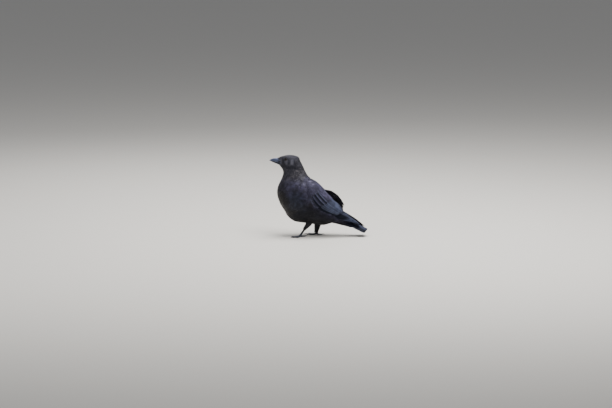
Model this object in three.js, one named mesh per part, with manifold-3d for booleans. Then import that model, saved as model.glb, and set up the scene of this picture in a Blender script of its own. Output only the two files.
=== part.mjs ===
// A carrion crow standing on the ground, life size: the left foot forward, the body sloping down to the tail,
// the left wing folded and the right wing held a little off the back.
//
// Millimetres, +Z up. The bird faces -X, so its left side is -Y. Its sizes are drafted about a point on the
// ground between the feet, and the last lines move the origin to the middle of the bounding box's base.
import * as THREE from "three";
import { mergeVertices } from "three/addons/utils/BufferGeometryUtils.js";
import Module from "manifold-3d";

const wasm = await Module();
wasm.setup();

// ---------------------------------------------------------------- driving dimensions

const GAP = 0.4; // left between two pieces that touch
const FORWARD = new THREE.Vector3(-1, 0, 0);
const LEFT = -1; // the sign of Y on the bird's left side
const RIGHT = 1;

const BODY_SIDES = 24; // points round each section of the body
const BODY_STEPS = 2; // sections made between two stations

const EYE = { x: -86.5, z: 280, radius: 6.6, showing: 2.3 };
const BILL = { tip: [-147.5, 274], gape: [-94, 261.5], baseDepth: 25.5, baseWidth: 19, hookFrom: 0.93 };

const TARSUS = { top: 4.6, middle: 3.6, foot: 4.5 }; // radii down the bare leg
// A toe's radii and sides, and how high its middle lies, as a share of its radius: it is flat underneath.
const TOE = { root: 3.3, tip: 2.2, sides: 8, height: 0.8 };
const CLAW_LENGTH = 11;
// Each toe's length without its claw, and its turn from straight ahead, positive towards the outside.
const TOES = {
  hallux: { length: 21, turn: 176 },
  inner: { length: 24, turn: -27 },
  middle: { length: 34, turn: 2 },
  outer: { length: 26, turn: 29 },
};
// Each leg's joints, the way its foot points, and its feathers: their radii at the knee, at the ankle and at
// their end, and how far down from the ankle to the foot that end is, as a share.
const LEGS = {
  left: {
    side: LEFT,
    knee: [-24, -28, 100],
    ankle: [-4, -26, 52],
    foot: [-35.5, -28, 5.2],
    heading: 38,
    feathers: { radii: [27, 11, 5.8], end: 0.42 },
  },
  right: {
    side: RIGHT,
    knee: [16, 28, 98],
    ankle: [29, 24, 54],
    foot: [22, 31, 5.2],
    heading: 8,
    feathers: { radii: [27, 13.2, 7.4], end: 0.84 },
  },
};

const TAIL = {
  root: [118, 71],
  tip: [207.5, 25.5],
  feathers: 12,
  rootWidth: 40,
  width: 67,
  thickness: 6,
  droop: 14, // of the outermost feathers below the middle pair
  rounding: 0.05,
  shares: [0, 0.3, 0.6, 0.85, 1],
};
// The closed hand of each wing: the tip of its longest feather, and that of the shortest, nearest the back.
const HAND = {
  [LEFT]: { tip: [187, 40], shortest: [158, 57] },
  [RIGHT]: { tip: [200, 35], shortest: [160, 65] },
  lifted: { [LEFT]: 0.35, [RIGHT]: 0 }, // how much of its shell's lift each one starts with
  slope: { [LEFT]: 1, [RIGHT]: 7 }, // how far its lower edge's tip lies under its upper one's
  spread: [7, 24], // the tips of its upper and lower edge, out from the middle
  longest: 0.55, // which feather is the longest, as a share down from the back
  thickness: 1.4,
  bow: 2,
  shares: [0, 0.3, 0.6, 0.85, 1],
};
// The wings' shells over the body, counted in the body's stations: where each starts, parts and ends.
const WING = {
  start: 8.6,
  split: 12.4,
  end: { [LEFT]: 16.4, [RIGHT]: 16.35 },
  samples: 8,
  clear: 1.1, // between shell and body
  edge: 1, // thickness at the edges
};
// How far each wing's upper edge stands off the back at most, and from which station over how many.
const LIFT = {
  [LEFT]: { most: 10, from: 13.6, over: 5.4 },
  [RIGHT]: { most: 34.5, from: 11.75, over: 6.4 },
};

const COLOURS = {
  plumage: "#17171d",
  wing: "#1c1e29",
  bill: "#23242b",
  eye: "#120c09",
  leg: "#1b1b1f",
  claw: "#141417",
};

// The body's stations from the brow back to the tail's root. Each is a flat section through a top and a
// bottom point, given as [x, z], with its full width and how far down its widest place is, as a share.
const STATIONS = [
  { back: [-113, 285], belly: [-114, 264], width: 13, widest: 0.5 }, // bristles over the nostrils
  { back: [-106, 288.5], belly: [-109, 256.5], width: 24, widest: 0.5 }, // lores
  { back: [-95, 291.5], belly: [-102, 247], width: 34, widest: 0.5 }, // brow
  { back: [-78, 294.5], belly: [-97, 237.5], width: 41, widest: 0.46 }, // eye
  { back: [-59, 293], belly: [-96, 228], width: 47, widest: 0.46 }, // crown
  { back: [-43.5, 287], belly: [-98, 219], width: 50, widest: 0.47 }, // back of the head
  { back: [-34.5, 272], belly: [-102, 208], width: 55, widest: 0.48 }, // nape
  { back: [-24.5, 252], belly: [-108, 196], width: 63, widest: 0.49 }, // neck
  { back: [-14.5, 231], belly: [-115, 181], width: 77, widest: 0.5 }, // foot of the neck
  { back: [-1, 211.5], belly: [-118.5, 162], width: 93, widest: 0.5 }, // mantle and crop
  { back: [16, 196], belly: [-116, 141], width: 105, widest: 0.5 },
  { back: [33, 180], belly: [-108, 119], width: 112, widest: 0.5 }, // breast
  { back: [51, 161], belly: [-94, 96], width: 115, widest: 0.5 },
  { back: [69, 143], belly: [-79, 71], width: 115, widest: 0.5 }, // middle of the back, and belly
  { back: [86, 124.5], belly: [-56, 54.5], width: 109, widest: 0.5 },
  { back: [103, 107], belly: [-20, 48.5], width: 101, widest: 0.5 },
  { back: [118, 91], belly: [17, 43.5], width: 88, widest: 0.5 }, // rump
  { back: [131, 76.5], belly: [47, 40.5], width: 73, widest: 0.5 }, // feathers of the flanks
  { back: [137, 70], belly: [66, 50], width: 62, widest: 0.5 }, // vent
  { back: [143, 64], belly: [88, 46], width: 52, widest: 0.5 }, // coverts over and under the tail
  { back: [153, 54], belly: [118, 38.5], width: 40, widest: 0.5 },
];
const HEAD_END = 5.6; // where the body is parted, counted in stations
const NECK_END = 8.7;
const TRUNK_END = STATIONS.length - 1;

// ---------------------------------------------------------------- solids

// A closed geometry as a manifold solid, its faces turned to point out.
function solidOf(geometry) {
  const bare = geometry.clone();
  bare.deleteAttribute("normal");
  bare.deleteAttribute("uv");
  const merged = mergeVertices(bare, 1e-3);
  const mesh = new wasm.Mesh({
    numProp: 3,
    vertProperties: new Float32Array(merged.attributes.position.array),
    triVerts: new Uint32Array(merged.index.array),
  });
  const solid = new wasm.Manifold(mesh);
  if (solid.volume() >= 0) return solid;
  for (let i = 0; i < mesh.triVerts.length; i += 3) {
    [mesh.triVerts[i + 1], mesh.triVerts[i + 2]] = [mesh.triVerts[i + 2], mesh.triVerts[i + 1]];
  }
  return new wasm.Manifold(mesh);
}

function geometryOf(solid) {
  const mesh = solid.getMesh();
  const geometry = new THREE.BufferGeometry();
  geometry.setAttribute("position", new THREE.BufferAttribute(mesh.vertProperties, 3));
  geometry.setIndex(new THREE.BufferAttribute(mesh.triVerts, 1));
  return geometry;
}

// Keeps a solid's largest piece, where a cut has left crumbs.
function largest(solid) {
  const pieces = solid.decompose();
  return pieces.reduce((best, piece) => (piece.volume() > best.volume() ? piece : best));
}

function without(solid, ...others) {
  return largest(others.reduce((left, other) => left.subtract(other), solid));
}

// A closed skin over rings of equal count. Each end is a fan, or, where a ring is one line of points and the
// same line back on the other side of a thin piece, a strip between the two.
function loft(rings, thin = false) {
  const sides = rings[0].length;
  const points = rings.flat();
  const faces = [];
  for (let r = 0; r + 1 < rings.length; r++) {
    for (let s = 0; s < sides; s++) {
      const a = r * sides + s;
      const b = r * sides + ((s + 1) % sides);
      faces.push(a, b, a + sides, b, b + sides, a + sides);
    }
  }
  for (const [ring, start, turned] of [
    [rings[0], 0, true],
    [rings.at(-1), (rings.length - 1) * sides, false],
  ]) {
    const corners = [];
    if (thin) {
      for (let s = 0; s + 1 < sides / 2; s++) {
        const [a, b, c, d] = [s, s + 1, sides - 2 - s, sides - 1 - s].map((i) => start + i);
        corners.push([a, b, c], [a, c, d]);
      }
    } else {
      for (let s = 0; s < sides; s++) corners.push([points.length, start + s, start + ((s + 1) % sides)]);
      points.push(ring.reduce((sum, p) => sum.add(p), new THREE.Vector3()).divideScalar(sides));
    }
    for (const corner of corners) faces.push(...(turned ? corner.reverse() : corner));
  }
  const geometry = new THREE.BufferGeometry().setFromPoints(points);
  geometry.setIndex(faces);
  return solidOf(geometry);
}

// The space that a solid needs in a neighbour: itself, and the same form pushed out by a gap all round.
function roomFor(solid, gap = GAP) {
  const geometry = geometryOf(solid);
  geometry.computeVertexNormals();
  const { position, normal } = geometry.attributes;
  for (let i = 0; i < position.count; i++) {
    position.setXYZ(
      i,
      position.getX(i) + gap * normal.getX(i),
      position.getY(i) + gap * normal.getY(i),
      position.getZ(i) + gap * normal.getZ(i),
    );
  }
  return solidOf(geometry).add(solid);
}

const vector = (list) => new THREE.Vector3(...list);
const smooth = (share) => THREE.MathUtils.smoothstep(share, 0, 1);

// ---------------------------------------------------------------- the body as one form

const curveOf = (point) => new THREE.CatmullRomCurve3(STATIONS.map(point), false, "catmullrom", 0.5);
const backLine = curveOf((s) => new THREE.Vector3(s.back[0], 0, s.back[1]));
const bellyLine = curveOf((s) => new THREE.Vector3(s.belly[0], 0, s.belly[1]));
const widthLine = curveOf((s) => new THREE.Vector3(s.width, s.widest, 0));

// The section at a place counted in stations: its middle, its up direction, its reach each way and half its
// width.
function sectionAt(place) {
  const t = place / TRUNK_END;
  const back = backLine.getPoint(t);
  const belly = bellyLine.getPoint(t);
  const { x: width, y: widest } = widthLine.getPoint(t);
  const middle = back.clone().lerp(belly, widest);
  return {
    middle,
    up: back.clone().sub(belly).normalize(),
    above: back.distanceTo(middle),
    below: belly.distanceTo(middle),
    half: width / 2,
  };
}

// A point on the body's skin: angle 90 is the back, 0 the right side, 180 the left side and -90 the belly.
function skinPoint(section, degrees, out = 0) {
  const angle = THREE.MathUtils.degToRad(degrees);
  const reach = (Math.sin(angle) > 0 ? section.above : section.below) + out;
  const point = section.middle.clone().addScaledVector(section.up, reach * Math.sin(angle));
  point.y += (section.half + out) * Math.cos(angle);
  return point;
}

function bodyRing(place, shift = 0) {
  const section = sectionAt(place);
  const along = new THREE.Vector3(0, 1, 0).cross(section.up);
  return Array.from({ length: BODY_SIDES }, (_, i) =>
    skinPoint(section, (360 * i) / BODY_SIDES).addScaledVector(along, shift),
  );
}

// The body between two places, its first section drawn back by a gap from the piece before it.
function bodyPiece(from, to) {
  const steps = Math.ceil((to - from) * BODY_STEPS);
  const rings = Array.from({ length: steps + 1 }, (_, i) =>
    bodyRing(from + ((to - from) * i) / steps, i === 0 && from > 0 ? GAP : 0),
  );
  return loft(rings);
}

// ---------------------------------------------------------------- bill and eyes

// Half of the bill: sections from the base, deep in the face, to the tip. The culmen and the lower edge are
// curves, and the parting between the halves runs straight from the gape to just above the tip.
function billHalf(upper) {
  const [tipX, tipZ] = BILL.tip;
  const [gapeX, gapeZ] = BILL.gape;
  const steps = 9;
  const sides = 8;
  const reach = upper ? 1 : BILL.hookFrom; // the upper half hooks down past the lower one's tip
  const rings = [];
  for (let i = 0; i <= steps; i++) {
    const share = 0.25 * (1 - Math.cos((Math.PI * i) / steps)) + (0.5 * i) / steps;
    const along = share * reach;
    const x = THREE.MathUtils.lerp(gapeX, tipX, along);
    const parting = THREE.MathUtils.lerp(gapeZ, tipZ + 0.6, along) + 1.6 * Math.sin(Math.PI * along);
    const taper = Math.pow(1 - Math.pow(share, upper ? 2.3 : 1.9), upper ? 0.86 : 0.8);
    const depth = Math.max((upper ? 0.64 : 0.36) * BILL.baseDepth * taper, 0.7);
    const half = Math.max((BILL.baseWidth / 2) * Math.pow(1 - along, 0.72), 0.6);
    const hook = upper ? 2.2 * smooth((along - BILL.hookFrom) / (1 - BILL.hookFrom)) : 0;
    const inner = parting - hook + (upper ? GAP / 2 : -GAP / 2);
    const sign = upper ? 1 : -1;
    const ring = [];
    for (let s = 0; s <= sides; s++) {
      const angle = (Math.PI * s) / sides;
      const y = half * Math.cos(angle) * (0.86 + 0.14 * Math.cos(angle) ** 2);
      ring.push(new THREE.Vector3(x, y, inner + sign * depth * Math.pow(Math.sin(angle), 0.9)));
    }
    rings.push(ring);
  }
  return loft(rings);
}

// How far from the middle the head's skin is beside the eye.
function eyeMiddle(side) {
  let best = Infinity;
  let found = 0;
  for (let place = 1; place < 6; place += 0.02) {
    const section = sectionAt(place);
    for (let degrees = -60; degrees < 80; degrees += 1) {
      const p = skinPoint(section, degrees);
      const miss = Math.hypot(p.x - EYE.x, p.z - EYE.z);
      if (miss < best) {
        best = miss;
        found = p.y;
      }
    }
  }
  return new THREE.Vector3(EYE.x, side * (found + EYE.showing - EYE.radius), EYE.z);
}

function eyeball(side, radius) {
  const ball = new THREE.SphereGeometry(radius, 14, 8);
  ball.translate(...eyeMiddle(side).toArray());
  return solidOf(ball);
}

// ---------------------------------------------------------------- wings

// The wing's shape over the body at a place: its upper and lower edges as angles from the side, and its
// thickness.
function wingShape(place) {
  const along = (place - WING.start) / (WING.end[LEFT] - WING.start);
  const opening = smooth(along / 0.24);
  return {
    upper: THREE.MathUtils.lerp(62, 86, opening) - 8 * smooth((along - 0.8) / 0.2),
    lower: THREE.MathUtils.lerp(42, 12, smooth(along / 0.46)) + 8 * smooth((along - 0.6) / 0.4),
    thickness: THREE.MathUtils.lerp(2.2, 7.2, opening) - 2.6 * smooth((along - 0.45) / 0.55),
  };
}

// How far a wing stands off the back at a place, growing from its lower edge to its upper.
function liftAt(side, place, share) {
  const { most, from, over } = LIFT[side];
  const along = THREE.MathUtils.clamp((place - from) / over, 0, 1);
  return most * Math.sin(Math.PI * along) * Math.pow(share, 1.3);
}

// One section of a wing's shell: along the outside from the upper edge to the lower, and back on the inside.
function wingRing(side, place, shift = 0, lifted = 1) {
  const section = sectionAt(place);
  const { upper, lower, thickness } = wingShape(place);
  const along = new THREE.Vector3(0, 1, 0).cross(section.up);
  const pointAt = (share, out) => {
    const p = skinPoint(section, THREE.MathUtils.lerp(lower, upper, share), out);
    const lift = lifted * liftAt(side, place, share);
    p.y = side * (p.y + 0.34 * lift);
    p.z += 0.94 * lift;
    return p.addScaledVector(along, shift);
  };
  const outer = [];
  const inner = [];
  for (let i = 0; i <= WING.samples; i++) {
    const share = 1 - i / WING.samples;
    const swell = Math.sqrt(Math.max(0, 1 - Math.pow(2 * share - 1, 4)));
    outer.push(pointAt(share, WING.clear + THREE.MathUtils.lerp(WING.edge, thickness, swell)));
    inner.unshift(pointAt(share, WING.clear));
  }
  return [...outer, ...inner];
}

function wingPiece(side, from, to) {
  const steps = Math.ceil((to - from) * 1.6);
  const rings = Array.from({ length: steps + 1 }, (_, i) =>
    wingRing(side, from + ((to - from) * i) / steps, i === 0 && from > WING.start ? GAP : 0),
  );
  return loft(rings, true);
}

// The long feathers of the hand: they carry on from the shell's end and close up over the rump and tail to a
// point, each feather's tip standing out a little from the next.
function primaries(side) {
  const root = wingRing(side, WING.end[side], GAP, HAND.lifted[side]);
  const { tip: tipOfHand, shortest } = HAND[side];
  const count = root.length / 2;
  const rings = HAND.shares.map((along) =>
    root.map((start, i) => {
      const below = i < count; // the outside comes first in the ring
      const share = (below ? i : root.length - 1 - i) / (count - 1); // 0 at the upper edge, 1 at the lower
      const length = 1 - Math.pow(Math.abs(share - HAND.longest), 1.5);
      const notch = i % 2 ? 0.03 : 0;
      const tip = new THREE.Vector3(
        THREE.MathUtils.lerp(shortest[0], tipOfHand[0], length - notch),
        side * THREE.MathUtils.lerp(...HAND.spread, share),
        THREE.MathUtils.lerp(shortest[1], tipOfHand[1], length - notch) - HAND.slope[side] * share,
      );
      tip.z += below ? HAND.thickness : 0;
      const point = start.clone().lerp(tip, along);
      point.z += HAND.bow * Math.sin(Math.PI * along);
      return point;
    }),
  );
  return loft(rings, true);
}

// ---------------------------------------------------------------- tail

// Twelve feathers closed into one blade: the middle pair on top and longest, each outer one a step lower.
function tail() {
  const root = new THREE.Vector3(TAIL.root[0], 0, TAIL.root[1]);
  const axis = new THREE.Vector3(TAIL.tip[0], 0, TAIL.tip[1]).sub(root);
  const up = new THREE.Vector3(-axis.z, 0, axis.x).normalize();
  const samples = TAIL.feathers * 2;
  const rings = TAIL.shares.map((along) => {
    const upper = [];
    const lower = [];
    for (let i = 0; i <= samples; i++) {
      const share = (2 * i) / samples - 1; // -1 at the left edge, 1 at the right
      const half = THREE.MathUtils.lerp(TAIL.rootWidth, TAIL.width, along) / 2;
      const length = 1 - TAIL.rounding * share * share - (i % 2 ? 0 : 0.012);
      const low = TAIL.droop * Math.pow(Math.abs(share), 1.6) + (i % 2 ? 0.5 : 0);
      const point = root.clone().addScaledVector(axis, along * length).addScaledVector(up, -low);
      point.y += half * share;
      const thick = THREE.MathUtils.lerp(TAIL.thickness, 0.8, along) * (1 - 0.6 * share * share);
      upper.push(point.clone().addScaledVector(up, thick / 2));
      lower.unshift(point.clone().addScaledVector(up, -thick / 2));
    }
    return [...upper, ...lower];
  });
  return loft(rings, true);
}

// ---------------------------------------------------------------- legs and feet

// A limb of round sections along a curve, with a radius from a function of the share along it.
// Sections are kept above the ground, so that a foot stands on flats.
function limb(points, radiusAt, sides, steps, flat = 1) {
  const curve = new THREE.CatmullRomCurve3(points);
  const rings = [];
  for (let i = 0; i <= steps; i++) {
    const share = i / steps;
    const along = curve.getTangentAt(share);
    const across = new THREE.Vector3(0, 1, 0).addScaledVector(along, -along.y).normalize();
    const up = along.clone().cross(across);
    const middle = curve.getPointAt(share);
    const radius = radiusAt(share);
    rings.push(
      Array.from({ length: sides }, (_, s) => {
        const angle = (2 * Math.PI * (s + 0.5)) / sides;
        const point = middle.clone().addScaledVector(across, radius * flat * Math.cos(angle));
        point.addScaledVector(up, radius * Math.sin(angle));
        return point.setZ(Math.max(point.z, 0));
      }),
    );
  }
  return loft(rings);
}

// The feathered part of the leg, from inside the flank to some way below the ankle.
function thigh({ knee, ankle, foot, feathers }) {
  const [top, middle, low] = feathers.radii;
  const path = [vector(knee), vector(ankle), vector(ankle).lerp(vector(foot), feathers.end)];
  const [upper, lower] = [path[0].distanceTo(path[1]), path[1].distanceTo(path[2])];
  const joint = upper / (upper + lower);
  const radiusAt = (share) =>
    share < joint
      ? THREE.MathUtils.lerp(top, middle, smooth(share / joint))
      : THREE.MathUtils.lerp(middle, low, Math.pow((share - joint) / (1 - joint), 1.3));
  path.splice(1, 0, path[0].clone().lerp(path[1], 0.55));
  return limb(path, radiusAt, 16, 10, 0.8);
}

function tarsus({ ankle, foot, feathers }) {
  const start = vector(ankle).lerp(vector(foot), feathers.end + 0.015);
  const end = vector(foot);
  const radiusAt = (share) =>
    share < 0.5
      ? THREE.MathUtils.lerp(TARSUS.top, TARSUS.middle, smooth(share * 2))
      : THREE.MathUtils.lerp(TARSUS.middle, TARSUS.foot, Math.pow(share * 2 - 1, 3));
  return limb([start, start.clone().lerp(end, 0.5), end], radiusAt, 10, 8, 0.86);
}

// A toe's path: down from the foot's joint, flat along the ground, and on into the claw.
function toePath(leg, { length, turn }) {
  const angle = THREE.MathUtils.degToRad(leg.heading + turn);
  const out = FORWARD.clone().multiplyScalar(Math.cos(angle));
  out.y = leg.side * Math.sin(angle);
  const joint = vector(leg.foot);
  const at = (reach, height) => joint.clone().addScaledVector(out, reach).setZ(height);
  return { out, at, joint, length };
}

function toe(leg, size) {
  const { at, joint, length } = toePath(leg, size);
  const knuckles = Math.round(length / 11);
  const plainRadius = (share) => THREE.MathUtils.lerp(TOE.root, TOE.tip, share);
  const radiusAt = (share) => plainRadius(share) * (1 + 0.07 * Math.cos(2 * Math.PI * share * knuckles));
  const onGround = [0.34, 0.67, 1].map((share) => at(length * share, TOE.height * plainRadius(share)));
  return limb([at(2.6, joint.z - 0.4), ...onGround], radiusAt, TOE.sides, 7);
}

function claw(leg, size) {
  const { at, length } = toePath(leg, size);
  const from = length + GAP;
  const path = [
    at(from, 2),
    at(from + CLAW_LENGTH * 0.4, 2.6),
    at(from + CLAW_LENGTH * 0.8, 1.8),
    at(from + CLAW_LENGTH, 0.5),
  ];
  return limb(path, (share) => THREE.MathUtils.lerp(1.9, 0.45, Math.pow(share, 1.2)), 6, 4, 0.75);
}

// ---------------------------------------------------------------- the crow

const crow = new THREE.Group();

function add(name, solid, colour, roughness) {
  const material = new THREE.MeshStandardMaterial({ color: colour, roughness, metalness: 0 });
  const mesh = new THREE.Mesh(geometryOf(solid), material);
  mesh.name = name;
  crow.add(mesh);
}

const billUpper = billHalf(true);
const billLower = billHalf(false);
const sockets = [LEFT, RIGHT].map((side) => eyeball(side, EYE.radius + GAP));
const head = without(bodyPiece(0, HEAD_END), roomFor(billUpper), roomFor(billLower), ...sockets);
const neck = bodyPiece(HEAD_END, NECK_END);
const trunk = bodyPiece(NECK_END, TRUNK_END);
const trunkRoom = roomFor(trunk);

add("head", head, COLOURS.plumage, 0.55);
add("neck", neck, COLOURS.plumage, 0.65);
add("trunk", trunk, COLOURS.plumage, 0.65);
add("bill_upper", billUpper, COLOURS.bill, 0.35);
add("bill_lower", billLower, COLOURS.bill, 0.35);

const tailSolid = without(tail(), trunkRoom);
add("tail", tailSolid, COLOURS.wing, 0.45);

const wingRooms = [];
for (const [word, side] of [["left", LEFT], ["right", RIGHT]]) {
  const coverts = wingPiece(side, WING.start, WING.split);
  const secondaries = wingPiece(side, WING.split, WING.end[side]);
  add(`eye_${word}`, eyeball(side, EYE.radius), COLOURS.eye, 0.05);
  add(`wing_${word}_coverts`, coverts, COLOURS.wing, 0.45);
  add(`wing_${word}_secondaries`, secondaries, COLOURS.wing, 0.4);
  add(`wing_${word}_primaries`, primaries(side), COLOURS.wing, 0.4);
  wingRooms.push(roomFor(coverts), roomFor(secondaries));
}

for (const [word, leg] of Object.entries(LEGS)) {
  const thighSolid = without(thigh(leg), trunkRoom, ...wingRooms);
  const tarsusSolid = tarsus(leg);
  add(`thigh_${word}`, thighSolid, COLOURS.plumage, 0.7);
  add(`tarsus_${word}`, tarsusSolid, COLOURS.leg, 0.4);
  const rooms = [roomFor(tarsusSolid)];
  for (const [toeName, size] of Object.entries(TOES)) {
    const solid = without(toe(leg, size), ...rooms);
    rooms.push(roomFor(solid));
    add(`toe_${word}_${toeName}`, solid, COLOURS.leg, 0.4);
    add(`claw_${word}_${toeName}`, claw(leg, size), COLOURS.claw, 0.3);
  }
}

// The origin goes to the middle of the bounding box's base.
const box = new THREE.Box3().setFromObject(crow);
const middle = box.getCenter(new THREE.Vector3());
crow.position.set(-middle.x, -middle.y, -box.min.z);

export default crow;
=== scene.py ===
"""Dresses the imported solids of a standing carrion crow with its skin, feathers, bill, eyes and feet.

Sizes are in millimetres and in the drafting frame of the solids, in which the bird faces -X, its left side
is -Y and the ground is at zero. to_row() takes them to metres in the row's frame.
"""

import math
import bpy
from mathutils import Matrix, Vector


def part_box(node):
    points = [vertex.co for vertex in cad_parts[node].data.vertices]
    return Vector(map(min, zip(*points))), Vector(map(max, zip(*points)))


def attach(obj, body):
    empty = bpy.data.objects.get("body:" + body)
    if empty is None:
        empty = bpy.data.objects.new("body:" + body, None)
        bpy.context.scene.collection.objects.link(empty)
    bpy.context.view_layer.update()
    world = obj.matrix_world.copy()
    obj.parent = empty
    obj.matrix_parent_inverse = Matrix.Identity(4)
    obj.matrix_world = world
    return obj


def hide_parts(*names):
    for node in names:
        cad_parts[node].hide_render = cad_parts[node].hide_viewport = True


bl_info = {
    "name": "Carrion Crow",
    "version": (1, 0, 0),
    "blender": (4, 5, 0),
    "location": "View3D > Sidebar > Crow",
    "description": "Dresses the crow's solids with skin, feathers, bill, eyes and feet",
    "category": "Object",
}

from functools import partial

import bmesh
import bpy
import numpy as np
from bpy.props import FloatProperty, FloatVectorProperty, IntProperty, PointerProperty
from mathutils import Vector

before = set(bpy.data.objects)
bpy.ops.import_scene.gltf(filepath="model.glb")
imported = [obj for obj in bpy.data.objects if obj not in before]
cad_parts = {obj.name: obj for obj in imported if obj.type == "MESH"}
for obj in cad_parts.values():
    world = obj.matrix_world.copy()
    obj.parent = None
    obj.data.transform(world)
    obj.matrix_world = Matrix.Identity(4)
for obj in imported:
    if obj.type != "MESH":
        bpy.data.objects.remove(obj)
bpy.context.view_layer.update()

LEFT, RIGHT = -1, 1
SIDES = {"left": LEFT, "right": RIGHT}

# ---------------------------------------------------------------- sizes shared with the solids

# Stations of the body from the brow to the tail's root: back x and z, belly x and z, width, and how far down
# the widest place is, as a share.
STATIONS = np.array(
    [
        (-113, 285, -114, 264, 13, 0.5),  # bristles over the nostrils
        (-106, 288.5, -109, 256.5, 24, 0.5),  # lores
        (-95, 291.5, -102, 247, 34, 0.5),  # brow
        (-78, 294.5, -97, 237.5, 41, 0.46),  # eye
        (-59, 293, -96, 228, 47, 0.46),  # crown
        (-43.5, 287, -98, 219, 50, 0.47),  # back of the head
        (-34.5, 272, -102, 208, 55, 0.48),  # nape
        (-24.5, 252, -108, 196, 63, 0.49),  # neck
        (-14.5, 231, -115, 181, 77, 0.5),  # foot of the neck
        (-1, 211.5, -118.5, 162, 93, 0.5),  # mantle and crop
        (16, 196, -116, 141, 105, 0.5),
        (33, 180, -108, 119, 112, 0.5),  # breast
        (51, 161, -94, 96, 115, 0.5),
        (69, 143, -79, 71, 115, 0.5),  # middle of the back, and belly
        (86, 124.5, -56, 54.5, 109, 0.5),
        (103, 107, -20, 48.5, 101, 0.5),
        (118, 91, 17, 43.5, 88, 0.5),  # rump
        (131, 76.5, 47, 40.5, 73, 0.5),  # feathers of the flanks
        (137, 70, 66, 50, 62, 0.5),  # vent
        (143, 64, 88, 46, 52, 0.5),  # coverts over and under the tail
        (153, 54, 118, 38.5, 40, 0.5),
    ]
)

EYE = {"x": -86.5, "z": 280, "radius": 6.6}
BILL = {
    "tip": (-147.5, 274),
    "gape": (-94, 261.5),
    "base_depth": 25.5,
    "base_width": 19,
    "hook_from": 0.93,
}
WING = {"start": 8.6, "end": {LEFT: 16.4, RIGHT: 16.35}, "clear": 1.1, "edge": 1}
LIFT = {LEFT: (10, 13.6, 5.4), RIGHT: (34.5, 11.75, 6.4)}  # most, from, over
HAND = {
    LEFT: {"tip": (187, 40), "shortest": (158, 57)},
    RIGHT: {"tip": (200, 35), "shortest": (160, 65)},
    "lifted": {LEFT: 0.35, RIGHT: 0},
    "slope": {LEFT: 1, RIGHT: 7},
    "spread": (7, 24),
    "longest": 0.55,
    "thickness": 1.4,
    "bow": 2,
}
TAIL = {
    "root": (118, 71),
    "tip": (207.5, 25.5),
    "feathers": 12,
    "root_width": 40,
    "width": 67,
    "thickness": 6,
    "tip_thickness": 0.8,
    "droop": 14,
    "rounding": 0.05,
}
LEGS = {
    "left": {
        "side": LEFT,
        "knee": (-24, -28, 100),
        "ankle": (-4, -26, 52),
        "foot": (-35.5, -28, 5.2),
        "heading": 38,
        "radii": (27, 11, 5.8),
        "feather_end": 0.42,
    },
    "right": {
        "side": RIGHT,
        "knee": (16, 28, 98),
        "ankle": (29, 24, 54),
        "foot": (22, 31, 5.2),
        "heading": 8,
        "radii": (27, 13.2, 7.4),
        "feather_end": 0.84,
    },
}
TARSUS = (4.6, 3.6, 4.5)
TOE = {"root": 3.3, "tip": 2.2, "height": 0.8}
TOES = {"hallux": (21, 176), "inner": (24, -27), "middle": (34, 2), "outer": (26, 29)}

# Where the drafting frame's origin is in the row's frame, from the two eyes' places.
_eyes = [sum(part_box(f"eye_{word}"), Vector()) / 2 for word in SIDES]
ORIGIN = Vector((_eyes[0].x - EYE["x"] / 1000, (_eyes[0].y + _eyes[1].y) / 2, 0))


def to_row(points):
    return np.asarray(points, float) / 1000 + np.array(ORIGIN)


def eye_middle(side):
    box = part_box("eye_left" if side == LEFT else "eye_right")
    return (np.array(sum(box, Vector()) / 2) - np.array(ORIGIN)) * 1000


# ---------------------------------------------------------------- the bird's surfaces


def smooth(share):
    share = np.clip(share, 0, 1)
    return share * share * (3 - 2 * share)


def mix(a, b, share):
    return a + (b - a) * share


def flat(*values):
    """Numbers and arrays spread to one shape, each laid out in a line."""
    return [v.ravel() for v in np.broadcast_arrays(*(np.asarray(v, float) for v in values))]


def unit(vectors):
    return vectors / np.linalg.norm(vectors, axis=-1, keepdims=True)


def way_along(points):
    """How far each point of a line lies from its first, along the line."""
    return np.concatenate([[0], np.cumsum(np.linalg.norm(np.diff(points, axis=0), axis=1))])


def spline(rows, place):
    """A uniform Catmull-Rom curve through rows, carried on straight past both ends."""
    rows = np.asarray(rows, float)
    place = np.atleast_1d(np.asarray(place, float))
    last = len(rows) - 1
    inside = np.clip(place, 0, last)
    i = np.minimum(inside.astype(int), last - 1)
    t = (inside - i)[:, None]
    ends = np.vstack([2 * rows[0] - rows[1], rows, 2 * rows[-1] - rows[-2]])
    a, b, c, d = ends[i], ends[i + 1], ends[i + 2], ends[i + 3]
    curve = 0.5 * (2 * b + (c - a) * t + (2 * a - 5 * b + 4 * c - d) * t**2 + (3 * b - a - 3 * c + d) * t**3)
    slope = 0.5 * ((c - a) + 2 * (2 * a - 5 * b + 4 * c - d) * t + 3 * (3 * b - a - 3 * c + d) * t**2)
    return curve + slope * (place - inside)[:, None]


def section(place):
    """The body's middle, its way up, and how far it reaches above, below and aside, by place along it."""
    rows = spline(STATIONS, place)
    back, belly, width, widest = rows[:, 0:2], rows[:, 2:4], rows[:, 4], rows[:, 5]
    middle = back + (belly - back) * widest[:, None]
    tall = np.linalg.norm(back - belly, axis=1)
    up = (back - belly) / tall[:, None]
    return middle, up, tall * widest, tall * (1 - widest), width / 2


def body_at(place, degrees, out=0.0):
    """The body's outer form: 90 degrees is the back, 0 the right side, 180 the left, -90 the belly."""
    place, degrees, out = flat(place, degrees, out)
    middle, up, above, below, half = section(place)
    angle = np.radians(degrees)
    reach = (np.where(np.sin(angle) > 0, above, below) + out) * np.sin(angle)
    y = (half + out) * np.cos(angle)
    return np.stack([middle[:, 0] + up[:, 0] * reach, y, middle[:, 1] + up[:, 1] * reach], 1)


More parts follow.
